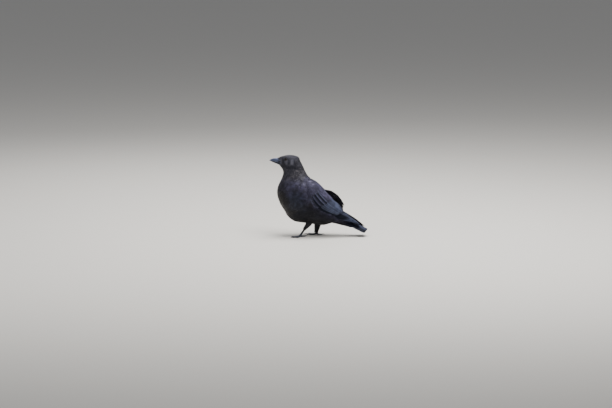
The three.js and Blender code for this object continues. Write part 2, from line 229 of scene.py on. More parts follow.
def narrowed(points):
    """Draws the face in towards the bill, so that its base and the corners of the mouth show."""
    points = np.array(points, float)
    x, z = points[..., 0], points[..., 2]
    brow = 1.2 * np.exp(-(((x + 90) / 9) ** 2) - ((z - 287.5) / 3.2) ** 2)
    points[..., 1] = points[..., 1] * (1 - 0.34 * smooth((-83 - x) / 26)) + brow * np.tanh(points[..., 1] / 6)
    return points


def head_at(place, degrees, out=0.0):
    return narrowed(body_at(place, degrees, out))


def lift_at(side, place, share):
    """How far a wing stands off its folded place, most at its upper edge."""
    most, start, over = LIFT[side]
    return most * np.sin(np.pi * np.clip((place - start) / over, 0, 1)) * np.clip(share, 0, None) ** 1.3


def wing_shape(place):
    """The folded wing's upper and lower edge, as angles round the body, and its thickness."""
    along = (place - WING["start"]) / (WING["end"][LEFT] - WING["start"])
    opening = smooth(along / 0.24)
    upper = mix(62, 86, opening) - 8 * smooth((along - 0.8) / 0.2)
    lower = mix(42, 12, smooth(along / 0.46)) + 8 * smooth((along - 0.6) / 0.4)
    thickness = mix(2.2, 7.2, opening) - 2.6 * smooth((along - 0.45) / 0.55)
    return upper, lower, thickness


def wing_swell(share):
    """How full the wing is by share from its lower edge, thin under the flank's feathers, to its upper."""
    off = 2 * np.clip(share, 0, 1) - 1
    return np.where(off < 0, 1 - off**2, np.sqrt(np.clip(1 - off**4, 0, 1)))


def wing_at(side, lifted=1.0, inner=False):
    """The folded wing's outer form, by place along the body and by share from its lower edge to its upper."""

    def surface(place, share, out=0.0):
        place, share, out = flat(place, share, out)
        upper, lower, thickness = wing_shape(place)
        over = 0 if inner else mix(WING["edge"], thickness, wing_swell(share))
        points = body_at(place, mix(lower, upper, share), WING["clear"] + over + out)
        lift = lifted * lift_at(side, place, share)
        points[:, 1] = side * (points[:, 1] + 0.34 * lift)
        points[:, 2] += 0.94 * lift
        return points

    return surface


def hand_at(side, inner=False):
    """The closed hand over the rump and tail: by share along it and by share from the back down."""
    start_of = wing_at(side, lifted=HAND["lifted"][side], inner=inner)
    tip_of_hand, shortest = HAND[side]["tip"], HAND[side]["shortest"]

    def surface(along, share, out=0.0):
        along, share, out = flat(along, share, out)
        start = start_of(np.full_like(share, WING["end"][side]), 1 - share)
        length = 1 - np.abs(share - HAND["longest"]) ** 1.5
        x, z = mix(shortest[0], tip_of_hand[0], length), mix(shortest[1], tip_of_hand[1], length)
        z = z - HAND["slope"][side] * share + (0 if inner else HAND["thickness"])
        tip = np.stack([x, side * mix(*HAND["spread"], share), z], 1)
        points = start + (tip - start) * along[:, None]
        points[:, 2] += HAND["bow"] * np.sin(np.pi * np.clip(along, 0, 1))
        points[:, 1] += side * 0.5 * out
        points[:, 2] += 0.8 * out
        return points

    return surface


def tail_thickness(along, share):
    return mix(TAIL["thickness"], TAIL["tip_thickness"], along) * (1 - 0.6 * share**2)


def tail_at(along, share, out=0.0):
    """The tail's upper face: by share along it, and from -1 at its left edge to 1 at its right."""
    along, share, out = flat(along, share, out)
    root = np.array([TAIL["root"][0], 0, TAIL["root"][1]], float)
    axis = np.array([TAIL["tip"][0], 0, TAIL["tip"][1]], float) - root
    up = np.array([-axis[2], 0, axis[0]]) / np.linalg.norm(axis)
    half = mix(TAIL["root_width"], TAIL["width"], along) / 2
    length = 1 - TAIL["rounding"] * share**2
    thick = tail_thickness(along, share) / 2
    low = TAIL["droop"] * np.abs(share) ** 1.6
    points = root + axis * (along * length)[:, None] + up * (thick - low + out)[:, None]
    points[:, 1] += half * share
    return points


def tail_below(along, share, out=0.0):
    """The tail's lower face, by the same places."""
    along, share, out = flat(along, share, out)
    return tail_at(along, share, -tail_thickness(along, share) - out)


def bill_at(upper):
    """A half of the bill: by share along it from the gape, and by angle from its right edge to its left."""
    (tip_x, tip_z), (gape_x, gape_z) = BILL["tip"], BILL["gape"]

    def surface(share, degrees, out=0.0):
        share, degrees, out = flat(share, degrees, out)
        share = np.clip(share, 0, 1)
        along = share * (1 if upper else BILL["hook_from"])
        x = mix(gape_x, tip_x, along)
        parting = mix(gape_z, tip_z + 0.6, along) + 1.6 * np.sin(np.pi * along)
        taper = (1 - share ** (2.3 if upper else 1.9)) ** (0.86 if upper else 0.8)
        depth = np.maximum((0.64 if upper else 0.36) * BILL["base_depth"] * taper, 0.7)
        half = np.maximum(BILL["base_width"] / 2 * (1 - along) ** 0.72, 0.6)
        half = half + 2.2 * (1 - share / 0.35).clip(0)  # the corners of the mouth are wide
        hook = 2.2 * ((along - 0.86) / 0.14).clip(0) ** 1.7 if upper else 0
        sign = 1 if upper else -1
        angle = np.radians(degrees)
        side = np.cos(angle)
        y = (half * (0.86 + 0.14 * side**2) + out) * side
        z = parting - hook + sign * (0.2 + (depth + out) * np.sin(angle).clip(0) ** 0.9)
        return np.stack([x, y, z], 1)

    return surface


def curve_through(points, steps):
    """Points evenly spaced along a curve, and their directions."""
    fine = spline(points, np.linspace(0, len(points) - 1, 40 * len(points)))
    gone = way_along(fine)
    even = np.stack([np.interp(np.linspace(0, gone[-1], steps), gone, fine[:, k]) for k in range(3)], 1)
    return even, unit(np.gradient(even, axis=0))


def limb_at(points, radius_at, breadth=1.0):
    """A round limb about a curve: by share along it and by angle round it."""
    middles, headings = curve_through(np.array(points, float), 200)
    stops, length = np.linspace(0, 1, 200), way_along(middles)[-1]

    def surface(share, degrees, out=0.0):
        share, degrees, out = flat(share, degrees, out)
        inside = np.clip(share, 0, 1)
        middle, heading = (
            np.stack([np.interp(inside, stops, rows[:, k]) for k in range(3)], 1)
            for rows in (middles, headings)
        )
        heading = unit(heading)
        middle += heading * ((share - inside) * length)[:, None]
        across = unit(np.array([0.0, 1, 0]) - heading * heading[:, 1:2])
        up = np.cross(heading, across)
        radius = radius_at(inside) + out
        angle = np.radians(degrees)
        points = middle + across * (radius * breadth * np.cos(angle))[:, None]
        points += up * (radius * np.sin(angle))[:, None]
        points[:, 2] = np.maximum(points[:, 2], 0)
        return points

    return surface


def thigh_path(leg):
    """The line of a thigh from the knee down to where its feathers end, and how thick it is along it."""
    knee, ankle, foot = (np.array(leg[key], float) for key in ("knee", "ankle", "foot"))
    end = mix(ankle, foot, leg["feather_end"])
    top, middle, low = leg["radii"]
    joint = np.linalg.norm(ankle - knee)
    joint /= joint + np.linalg.norm(end - ankle)

    def radius_at(share):
        above = mix(top, middle, smooth(share / joint))
        below = mix(middle, low, np.clip((share - joint) / (1 - joint), 0, 1) ** 1.3)
        return np.where(share < joint, above, below)

    return [knee, mix(knee, ankle, 0.55), ankle, end], radius_at


# ---------------------------------------------------------------- meshes from arrays


def add_object(name, data):
    """An object in the scene."""
    made = bpy.data.objects.new(name, data)
    bpy.context.scene.collection.objects.link(made)
    return made


def settle(piece, nodes=()):
    """Fixes a piece to the frame, and hides the solids that it stands for."""
    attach(piece, "root")
    if nodes:
        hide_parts(*nodes)


def mark(mesh, **marks):
    """Stores a number or a vector for each point."""
    for key, values in marks.items():
        values = np.asarray(values, np.float32)
        kind, word = ("FLOAT", "value") if values.ndim == 1 else ("FLOAT_VECTOR", "vector")
        mesh.attributes.new(key, kind, "POINT").data.foreach_set(word, values.ravel())


def mesh_piece(name, made, material, nodes=(), closed=False):
    """A piece from points in millimetres and quads, with unwraps and marks given per point."""
    mesh = bpy.data.meshes.new(name)
    points, quads = to_row(made["points"]), np.asarray(made["quads"], np.int32)
    mesh.vertices.add(len(points))
    mesh.vertices.foreach_set("co", points.ravel())
    mesh.loops.add(quads.size)
    mesh.loops.foreach_set("vertex_index", quads.ravel())
    mesh.polygons.add(len(quads))
    mesh.polygons.foreach_set("loop_start", np.arange(0, quads.size, 4, dtype=np.int32))
    mesh.polygons.foreach_set("use_smooth", np.ones(len(quads), bool))
    mesh.update(calc_edges=True)
    for key, values in made.get("uv", {}).items():
        layer = mesh.uv_layers.new(name=key)
        layer.uv.foreach_set("vector", np.asarray(values, np.float32)[quads.ravel()].ravel())
    mark(mesh, **made.get("marks", {}))
    mesh.materials.append(material)
    piece = add_object(name, mesh)
    if closed:
        tidy_shell(mesh)
    settle(piece, nodes)


def tidy_shell(mesh):
    """Merges doubled points of a closed shell, drops what has no area and turns its faces outwards."""
    shell = bmesh.new()
    shell.from_mesh(mesh)
    bmesh.ops.remove_doubles(shell, verts=shell.verts, dist=1e-6)
    bmesh.ops.dissolve_degenerate(shell, edges=shell.edges, dist=1e-7)
    bmesh.ops.recalc_face_normals(shell, faces=shell.faces)
    shell.to_mesh(mesh)
    shell.free()


def grid_quads(rows, columns, wrap=False):
    """Quads of a grid of points, rows by columns; with wrap its columns close up."""
    r, c = np.meshgrid(np.arange(rows - 1), np.arange(columns if wrap else columns - 1), indexing="ij")
    a, b = r * columns + c, r * columns + (c + 1) % columns
    return np.stack([a, b, b + columns, a + columns], -1).reshape(-1, 4)


def tube(ring, start=True, end=True):
    """A closed tube from rows of points round it, each end drawn together into its middle."""
    rows, columns = [ring], ring.shape[1]
    if start:
        rows.insert(0, ring[:1].mean(1, keepdims=True).repeat(columns, 1))
    if end:
        rows.append(ring[-1:].mean(1, keepdims=True).repeat(columns, 1))
    points = np.concatenate(rows)
    return {"points": points.reshape(-1, 3), "quads": grid_quads(len(points), columns, wrap=True)}


def joined(batches):
    """Joins shells or feathers made apart into one set of arrays."""
    firsts = np.cumsum([0] + [len(b["points"]) for b in batches[:-1]])
    whole = {
        "points": np.concatenate([b["points"] for b in batches]),
        "quads": np.concatenate([b["quads"] + first for b, first in zip(batches, firsts)]),
    }
    for group in ("uv", "marks"):
        keys = batches[0].get(group, ())
        whole[group] = {key: np.concatenate([b[group][key] for b in batches]) for key in keys}
    return whole


PATCH = 0.003  # each feather's side on the unwrap of the skin


def faces_inwards(surface, place, across, wide):
    """True where a surface's own directions would turn a grid's faces into the bird."""
    here = surface(place, across)
    side = surface(place, across + wide) - here
    ahead = surface(place + 0.02, across) - here
    out = surface(place, across, 1.0) - here
    return (np.cross(side, ahead) * out).sum() < 0


def feathers(
    surface, place, across, length, width, root, tip, sway, unwrap, rng, grid=(8, 8), camber=0.25,
    ragged=0.025, fringe=0.03, blunt=0.45, fullest=0.62, arc=0.3, roll=0.12, settle_down=2.8, neck=0.4,
    shingled=False,
):
    """Open vanes that lie along a surface.

    place and across are the roots on the surface, length and width are in mm, root and tip are heights over
    it, and each of these four may be a pair of values to draw between. sway is how far they turn, in degrees.
    blunt is the half width left at the tip, as a share, and arc is how far the tip's edges stand back. The
    higher settle_down is, the flatter the outer part lies. fringe is the depth of the notches between the
    barbs' ends, as a share of the length. Shingled feathers all lie with the same edge over their neighbour.
    """
    n, (rows, columns) = len(place), (grid[0] + 1, grid[1] + 1)
    sizes = [rng.uniform(*v, n) if isinstance(v, tuple) else v for v in (length, width, root, tip)]
    place, across, *sizes = flat(place, across, *sizes, np.radians(rng.normal(0, sway, n)))
    length, width, root, tip, turn = (size[:, None, None] for size in sizes)
    nudge, wide = 0.02, max(np.ptp(across), 1e-3) * 1e-3
    ahead = surface(place + nudge, across) - surface(place - nudge, across)
    aside = surface(place, across + wide) - surface(place, across - wide)
    step_place = np.linalg.norm(ahead, axis=1) / (2 * nudge)
    step_place = np.maximum(step_place, 0.55 * np.median(step_place))  # also on the inside of a bend
    step_across = np.maximum(np.linalg.norm(aside, axis=1) / (2 * wide), 1e-3)

    t = np.linspace(0, 1, rows)[None, :, None]
    x = np.linspace(-1, 1, columns)[None, None, :]
    growing = neck + (1 - neck) * np.sin(np.pi / 2 * np.clip(t / fullest, 0, 1))
    closing = np.sqrt(1 - np.clip((t - fullest) / (1 - fullest), 0, 1) ** 2 * (1 - blunt**2))
    uneven = rng.normal(0, 1, (n, rows, columns)) * np.abs(x) ** 3
    sideways = width / 2 * growing * closing * x * (1 + ragged * uneven)
    tip_notches = (np.arange(columns) % 2) * rng.uniform(0.3, 1.5, (n, 1, columns)) * (t > 0.95)
    side_notches = (np.arange(rows) % 2)[:, None] * (np.abs(x) > 0.95) * (t > 0.4)
    lengthways = length * t - width * arc * x**2 * t**3 - fringe * length * tip_notches
    sideways = sideways * (1 - 1.6 * fringe * side_notches * rng.uniform(0.3, 1.5, (n, rows, 1)))
    bend = rng.normal(0, 0.06, (n, 1, 1)) * length * t**2
    go = lengthways * np.cos(turn) - (sideways + bend) * np.sin(turn)
    aside = lengthways * np.sin(turn) + (sideways + bend) * np.cos(turn)
    height = mix(root, tip, 1 - (1 - t) ** settle_down)
    height = height - camber * x**2 * np.sin(np.pi * np.clip(t * 0.85 + 0.1, 0, 1)) * width / 12
    higher_edge = 1 if shingled else rng.choice([-1.0, 1.0], n)[:, None, None]
    height = height + roll * x * t * higher_edge * width / 12
    height = height + 0.12 * (1 - np.abs(x)) ** 4 + 0.035 * rng.normal(0, 1, (n, 1, columns)) * t**4

    p = place[:, None, None] + go / step_place[:, None, None]
    q = across[:, None, None] + aside / step_across[:, None, None]
    quads = grid_quads(rows, columns)
    if faces_inwards(surface, place, across, wide):
        quads = quads[:, ::-1]
    u, v = (corner[:, None, None] for corner in unwrap(place, across))
    return {
        "points": surface(*flat(p, q, height)),
        "quads": (quads[None] + (np.arange(n) * rows * columns)[:, None, None]).reshape(-1, 4),
        "uv": {
            "vane": np.stack(flat(sideways, lengthways), 1) / 10,
            "OFBake": np.stack(flat(u + PATCH * x / 2, v + PATCH * t), 1),
        },
        "marks": dict(zip(("tone", "reach", "outer"), flat(rng.random((n, 1, 1)), t, np.abs(x)))),
    }


def along_feather(values, t):
    """What changes along a feather, from root to tip; with a third value it gets there that much sooner."""
    start, end, *haste = values
    return mix(start, end, smooth(t * haste[0]) if haste else t)


def blades(surface, specs, rows, rng, thickness=0.45):
    """Closed feathers of the wing or tail, each thick and with its shaft standing out.

    Each spec holds: root and tip places on the surface, the shaft's way across, the two vanes' widths there,
    and its height. A width is in the surface's own units across, so that feathers keep to its shape.
    """
    t = np.linspace(0, 1, rows + 1)[:, None]
    x = np.array([[-1, -0.62, -0.25, -0.07, 0, 0.07, 0.25, 0.62, 1]])  # close together at the shaft
    columns = x.size
    n = (rows + 1) * columns
    first, last = np.arange(columns), np.arange(n - 2, n - columns - 1, -1)
    rim = np.concatenate(
        [first, np.arange(2 * columns - 1, n, columns), last, np.arange(n - 2 * columns, 0, -columns)]
    )
    after = np.roll(rim, -1)
    upper = grid_quads(rows + 1, columns)
    quads = np.concatenate([upper, upper[:, ::-1] + n, np.stack([rim, rim + n, after + n, after], 1)])
    batches = []
    for k, spec in enumerate(specs):
        (start, end), (lead, trail) = spec["places"], spec["vanes"]
        fullest, blunt, arc = spec.get("fullest", 0.72), spec.get("blunt", 0.4), spec.get("arc", 0.035)
        closing = np.sqrt(1 - np.clip((t - fullest) / (1 - fullest), 0, 1) ** 2 * (1 - blunt**2))
        vane = np.where(x < 0, lead, trail) * (0.75 + 0.25 * smooth(t / 0.3)) * closing
        edge = 1 + 0.012 * rng.normal(0, 1, (rows + 1, columns)) * (np.abs(x) > 0.9)
        shaft, along = along_feather(spec["shaft"], t), mix(start, end, t)
        keel = 0.45 * np.exp(-((x / 0.09) ** 2)) * (1 - 0.7 * t)
        hollow, roll = spec.get("camber", 0.5) * x**2, spec.get("roll", 0.0) * x
        rise = along_feather(spec["height"], t) - hollow + keel + roll
        thick = thickness * (1 - 0.6 * np.abs(x))
        p, q = along - arc * (end - start) * x**2 * t**4, shaft + vane * x * edge
        edges = surface(mix(start, end, 0.5), shaft[rows // 2] + np.array([-lead, trail]))
        side = x * np.linalg.norm(edges[1] - edges[0]) / 2 * closing
        gone = way_along(surface(along, shaft))[:, None]
        bake = np.stack(flat((k + 0.5 + 0.42 * x) / len(specs), 0.01 + 0.47 * t), 1)
        reach, outer = flat(t, x * spec.get("shown", -1) * spec.get("shine", 1))
        tone = np.full(n, 0.3 * rng.random() + 0.7 * spec.get("tone", 0.5))
        vane_map = np.stack(flat(side, gone), 1) / 10
        batches.append(
            {
                "points": np.concatenate([surface(*flat(p, q, rise)), surface(*flat(p, q, rise - thick))]),
                "quads": quads,
                "uv": {"vane": np.tile(vane_map, (2, 1)), "OFBake": np.concatenate([bake, bake + [0, 0.5]])},
                "marks": {"tone": np.tile(tone, 2), "reach": np.tile(reach, 2), "outer": np.tile(outer, 2)},
            }
        )
    return joined(batches)


def staggered(surface, start, stop, from_across, to_across, between_rows, between_feathers, rng):
    """Roots in rows from start to stop, each row's feathers set between those of the row before.

    The distances between, in mm, are numbers or functions of the place.
    """
    places, acrosses = [], []
    place, row, untidy, nudge = start, 0, 0.12, 0.05
    line = mix(from_across, to_across, np.linspace(0, 1, 61))
    while place < stop:
        rows_apart, side_by_side = (v(place) if callable(v) else v for v in (between_rows, between_feathers))
        points, next_points = surface(place, line), surface(place + nudge, line)
        gone = way_along(points)
        count = max(1, int(round(gone[-1] / side_by_side)))
        # The middle draws aren't used: they keep the ones after them in their order.
        aside, _, ahead = rng.normal(0, untidy, (3, count))
        at = (np.arange(count) + (0.25 if row % 2 else 0.75) + aside) / count
        step = rows_apart / (np.linalg.norm(next_points - points, axis=1).mean() / nudge)
        places.append(place + ahead * step)
        acrosses.append(np.interp(at * gone[-1], gone, line))
        place += step
        row += 1
    return np.concatenate(places), np.concatenate(acrosses)


# ---------------------------------------------------------------- materials


def colour(code):
    """A linear colour from an sRGB code."""
    parts = [int(code[i : i + 2], 16) / 255 for i in (1, 3, 5)]
    return (*(p / 12.92 if p <= 0.04045 else ((p + 0.055) / 1.055) ** 2.4 for p in parts), 1.0)


def plug(socket, value):
    """Links a socket to another node's output, or sets it to a number, a colour or a word."""
    if isinstance(value, bpy.types.NodeSocket):
        socket.id_data.links.new(value, socket)
    else:
        socket.default_value = value


# The setting that is each kind of node's main choice.
CHOICES = {
    "Math": "operation",
    "VectorMath": "operation",
    "MapRange": "interpolation_type",
    "Mix": "data_type",
    "TexVoronoi": "feature",
}
SMOOTH_STEP = "MapRange SMOOTHSTEP"


def add_node(tree, kind, *values, **more):
    """Adds a node with its settings and links, and gives back the first of its outputs in use.

    A second word in kind is the node's main choice. Values go to the sockets in use, in their order. In the
    rest, names with a capital are sockets and the others are settings.
    """
    kind, _, choice = kind.partition(" ")
    node = tree.nodes.new(kind if "Node" in kind else "ShaderNode" + kind)
    if choice:
        setattr(node, CHOICES[kind], choice)
    for key, value in more.items():
        if key[0].islower():
            setattr(node, key, value)
    for socket, value in zip([socket for socket in node.inputs if socket.enabled], values):
        plug(socket, value)
    for key, value in more.items():
        if key[0].isupper():
            plug(node.inputs[key], value)
    return next(socket for socket in node.outputs if socket.enabled)


def set_shader(material, **sockets):
    """Gives the sockets of a material's shader their numbers, colours or other nodes' outputs."""
    shader = material.node_tree.nodes["Principled BSDF"]
    for key, value in sockets.items():
        plug(shader.inputs[key.replace("_", " ")], value)
    return material


def new_material(name, **constants):
    """A material with these constants on its shader, and the function that adds nodes to it."""
    material = bpy.data.materials.new(name)
    material.use_nodes = True
    set_shader(material, **constants)
    return material, partial(add_node, material.node_tree)


def near(add, value, middle, within, beyond, strength=1.0):
    """Strength where a value lies within reach of a middle, and fading to nothing beyond."""
    off = add("Math ABSOLUTE", add("Math SUBTRACT", value, middle))
    return add(SMOOTH_STEP, off, within, beyond, strength, 0.0)


def plumage_colour(add):
    """The bird's colours by place, for skin and coat alike, and how much of each is the neck's."""
    where = add("TexCoord").node.outputs["Object"]
    x, _, z = add("SeparateXYZ", where).node.outputs
    uneven = add("Math SUBTRACT", add("TexNoise", where, 28.0, 2.0), 0.5)
    above = add("Math MULTIPLY_ADD", x, 0.515, add("Math MULTIPLY", z, 0.857))
    dorsal = add(SMOOTH_STEP, add("Math MULTIPLY_ADD", uneven, 0.06, above), 0.058, 0.142)
    neck = add(SMOOTH_STEP, z, 0.185, 0.225)
    # Violet black above, umber black below, and a greyer black on head and neck; the violet above is partly a
    # painted sheen, and the darker umber below partly painted shade.
    base = add("Mix RGBA", dorsal, (*plumage().umber_black_and_shade, 1), (*plumage().violet_black_and_sheen, 1))
    base = add("Mix RGBA", neck, base, (*plumage().neck_black, 1))
    # A steel blue sheen is painted on the breast's sides, ahead of the wings.
    steel_sheen = add("Math MULTIPLY", near(add, x, -0.08, 0.004, 0.055, 0.5), near(add, z, 0.132, 0.004, 0.055))
    # Where the head turns on the neck its feathers part in a fold: painted shade darkens it, and a painted
    # highlight makes a broken band behind it paler.
    fold = add("Math MULTIPLY_ADD", uneven, 0.012, add("Math MULTIPLY_ADD", x, 0.09, z))
    fold_shade = near(add, fold, 0.2426, 0.002, 0.009, 0.75)
    pale = near(add, fold, 0.2331, 0.001, 0.005, 0.36)
    pale = add("Math MULTIPLY", pale, add(SMOOTH_STEP, x, -0.098, -0.08))
    broken = add(SMOOTH_STEP, add("TexNoise", where, 130.0, 1.0), 0.4, 0.6)
    pale = add("Math MULTIPLY", pale, broken)
    for share, code in ((steel_sheen, "#171d2a"), (fold_shade, "#060607"), (pale, "#5a5658")):
        base = add("Mix RGBA", share, base, colour(code))
    return base, neck


def vane_pattern(add, spacing):
    """Barbs slanting out from the shaft, spacing mm apart, where real ones are too fine to show.

    Gives back the barbs, the shaft and the feather's own tone.
    """
    across, along, _ = add("SeparateXYZ", add("UVMap", uv_map="vane")).node.outputs
    tone = add("Attribute", attribute_name="tone").node.outputs["Fac"]
    aside = add("Math ABSOLUTE", across)
    across_barbs = add("Math MULTIPLY", add("Math MULTIPLY_ADD", aside, -0.85, along), 10 / spacing)
    along_barbs = add("Math MULTIPLY", add("Math MULTIPLY_ADD", along, 0.4, aside), 1.6)
    lines = add("CombineXYZ", across_barbs, along_barbs, add("Math MULTIPLY", tone, 40.0))
    return add("TexNoise", lines, 1.0, 2.0), add(SMOOTH_STEP, aside, 0.012, 0.045, 1.0, 0.0), tone


# Black keratin vanes: melanin makes them nearly black, and the film over it gives the blue to violet gloss.
# By finish: roughness, colour of the gloss, gloss, sheen, colour of the sheen, barbs apart in mm, own colour.
FINISHES = {
    "face_plumes": (0.5, "#bcc0dc", 0.31, 0.06, "#86868f", 0.5, None),  # short and close, a soft grey shine
    "neck_hackles": (0.52, "#c8c6d6", 0.36, 0.1, "#86848c", 0.6, None),  # loose and pointed, a silky shine
    "mantle_plumes": (0.46, "#b3aee0", 0.29, 0.07, "#857fa4", 0.7, None),  # broad, with the strongest violet
    "breast_plumes": (0.5, "#bdb9bd", 0.29, 0.05, "#77726f", 0.7, None),  # soft and brownish black
    "belly_plumes": (0.54, "#aeb3c6", 0.25, 0.04, "#6a6c78", 0.7, None),  # downy and nearly matt
    "vent_plumes": (0.6, "#a8a6aa", 0.1, 0.0, "#5f5a58", 0.7, None),  # the mattest and darkest
    "thigh_plumes": (0.52, "#b4b6c4", 0.34, 0.08, "#6e6f78", 0.7, None),  # fine and grey black
    "shoulder_vanes": (0.46, "#b6b2d6", 0.43, 0.06, "#7f82a0", 0.7, "#2a2835"),  # firm and violet
    "wing_covert_vanes": (0.42, "#bab9dc", 0.5, 0.12, "#7f82a0", 0.7, "#272935"),  # glossy slate violet
    "flight_vanes": (0.4, "#b8c0e0", 0.48, 0.12, "#7f82a0", 0.9, "#2b303e"),  # the glossiest, blue slate
    # The shaded vanes are painted shade: the dark stripes between the coverts and the wing's lower feathers.
    "shaded_vanes": (0.55, "#a8b0cc", 0.16, 0.03, "#7f82a0", 0.9, "#272c38"),  # the dark stripes between
    "wing_lining": (0.65, "#b4b4bc", 0.25, 0.1, "#7f82a0", 0.8, "#3a393c"),  # dull grey under the wing
    "tail_vanes": (0.45, "#aeb6da", 0.18, 0.05, "#7f82a0", 0.9, "#20242f"),  # long and dark, a dim blue shine
}


def feather_material(name):
    """A finish of feathers, its colour holding painted light and shade; the long ones have a colour of their
    own, and a painted shine along one vane.
    """
    roughness, tint, gloss, sheen, sheen_tint, spacing, own = FINISHES[name]
    material, add = new_material(
        name, IOR=1.56, Specular_IOR_Level=gloss, Specular_Tint=colour(tint), Sheen_Weight=sheen,
        Sheen_Roughness=0.45, Sheen_Tint=colour(sheen_tint),
    )
    base, neck = plumage_colour(add)
    barbs, shaft, tone = vane_pattern(add, spacing)
    reach = add("Attribute", attribute_name="reach").node.outputs["Fac"]
    # Painted shade: a feather is darker towards its root, where those over it shade it.
    towards_tip = add(SMOOTH_STEP, reach, *((0.35, 1.0) if own else (0.05, 0.8)))
    shade = add("Math MULTIPLY", add("Math ADD", tone, barbs), 0.5)
    shade = add("Math MULTIPLY_ADD", towards_tip, 0.45, shade)
    if own:
        base = add("Mix RGBA", 0.75, base, colour(own))
        outer = add("Attribute", attribute_name="outer").node.outputs["Fac"]
        # The outer vane of a long feather has a painted shine; what its neighbour shades is painted nearly
        # black.
        shown = add(SMOOTH_STEP, outer, 0.05, 0.7, 0.0, 1.6)
        shade = add("Math MULTIPLY", shade, shown)
    # Painted gloss comes and goes in patches, as the feathers part and turn.
    where = add("TexCoord").node.outputs["Object"]
    patches = add("TexNoise", where, 75.0, 2.0)
    shade = add("Math MULTIPLY", shade, add(SMOOTH_STEP, patches, 0.34, 0.66, 0.45, 1.5))
    if name == "face_plumes":
        # Painted highlights: the stiff feathers over the ears shine in upright folds.
        x, _, z = add("SeparateXYZ", where).node.outputs
        turns = add("Math MULTIPLY_ADD", add("Math MULTIPLY_ADD", patches, 0.01, x), 300.0, 26.67)
        zone = add(SMOOTH_STEP, x, -0.088, -0.078, 1.0, 0.0)
        zone = add("Math MULTIPLY", zone, near(add, z, 0.271, 0.006, 0.013, 1.1))
        ear_glints = add("Math MULTIPLY", add("Math COSINE", turns), zone)
        shade = add("Math MULTIPLY", shade, add("Math ADD", ear_glints, 1.1))
    # Painted light and shade: a lit and a shaded copy of the colour, mixed by shade, which also holds each
    # feather's own tone and barbs.
    deep = 0.2 if own else 0.4
    light = add("Mix RGBA", 1.0, base, (2.8, 2.8, 2.85, 1), blend_type="MULTIPLY")
    dark = add("Mix RGBA", 1.0, base, (deep, deep, deep, 1), blend_type="MULTIPLY")
    tinted = add("Mix RGBA", add("Math MULTIPLY", shade, 0.62), dark, light)
    # The painted highlights over the ears also turn the colour paler.
    if name == "face_plumes":
        tinted = add("Mix RGBA", add("Math MULTIPLY", ear_glints, 0.34), tinted, colour("#62626c"))
    # Worn tips of a few feathers on the neck are paler.
    worn = add("Math MULTIPLY", add(SMOOTH_STEP, tone, 0.72, 0.86, 0.0, 0.55), towards_tip)
    tinted = add("Mix RGBA", add("Math MULTIPLY", worn, neck), tinted, colour("#4b474a"))
    tinted = add("Mix RGBA", add("Math MULTIPLY", shaft, 0.35), tinted, colour("#08080a"))
    rough = add(SMOOTH_STEP, patches, 0.34, 0.66, roughness - 0.09, roughness - 0.23)
    for value, share in ((barbs, 0.22), (tone, 0.1), (neck, 0.08)):
        rough = add("Math MULTIPLY_ADD", value, share, rough)
    if own:
        rough = add("Math MULTIPLY_ADD", shown, -0.1, add("Math ADD", rough, 0.16))
    relief = add("Bump", 0.35, 0.0004, Height=add("Math ADD", barbs, shaft))
    return set_shader(material, Base_Color=tinted, Roughness=rough, Normal=relief)


def skin_material():
    """Down and skin between the feathers: the coat's own colours, darker and quite matt."""
    material, add = new_material("down_black", Roughness=0.85, Specular_IOR_Level=0.2)
    base, _ = plumage_colour(add)
    fluff = add("TexNoise", add("TexCoord").node.outputs["Object"], 900.0, 3.0)
    tinted = add("Mix RGBA", fluff, colour("#050506"), base)
    return set_shader(material, Base_Color=tinted, Normal=add("Bump", 0.4, 0.0005, Height=fluff))


def horn_material(name, dull):
    """Bill and claws, black keratin grown in layers: a satin shine, fine streaks and worn paler edges.

    The lower half of the bill is duller, and painted darker as shade; the upper half is painted paler as the
    sky's reflection.
    """
    material, add = new_material(
        name, IOR=1.55, Specular_IOR_Level=0.3 if dull else 0.95, Specular_Tint=colour("#c0cbee"),
        Coat_Weight=0.1 if dull else 0.7, Coat_Roughness=0.3, Coat_Tint=colour("#d8dfff"),
    )
    # Painted light and shade: the upper half's paler blue grey colours are a painted reflection of the sky,
    # and the dull colours are darker, painted shade on the lower half.
    deep, middle, worn = ("#0c0d10", "#191b21", "#2a2d36") if dull else ("#2f333d", "#505664", "#636a7a")
    where = add("TexCoord").node.outputs["Object"]
    streaks = add("TexNoise", add("Mapping", where, Scale=(60.0, 900.0, 900.0)), 1.0, 3.0)
    wear = add("TexNoise", where, 160.0, 4.0)
    base = add("Mix RGBA", add(SMOOTH_STEP, streaks, 0.35, 0.75), colour(deep), colour(middle))
    base = add("Mix RGBA", add(SMOOTH_STEP, wear, 0.55, 0.8, 0.0, 0.4), base, colour(worn))
    rough = add(SMOOTH_STEP, wear, 0.3, 0.75, 0.3, 0.48)
    relief = add("Bump", 0.25, 0.0002, Height=add("Math MULTIPLY_ADD", wear, 0.5, streaks))
    return set_shader(material, Base_Color=base, Roughness=rough, Normal=relief)


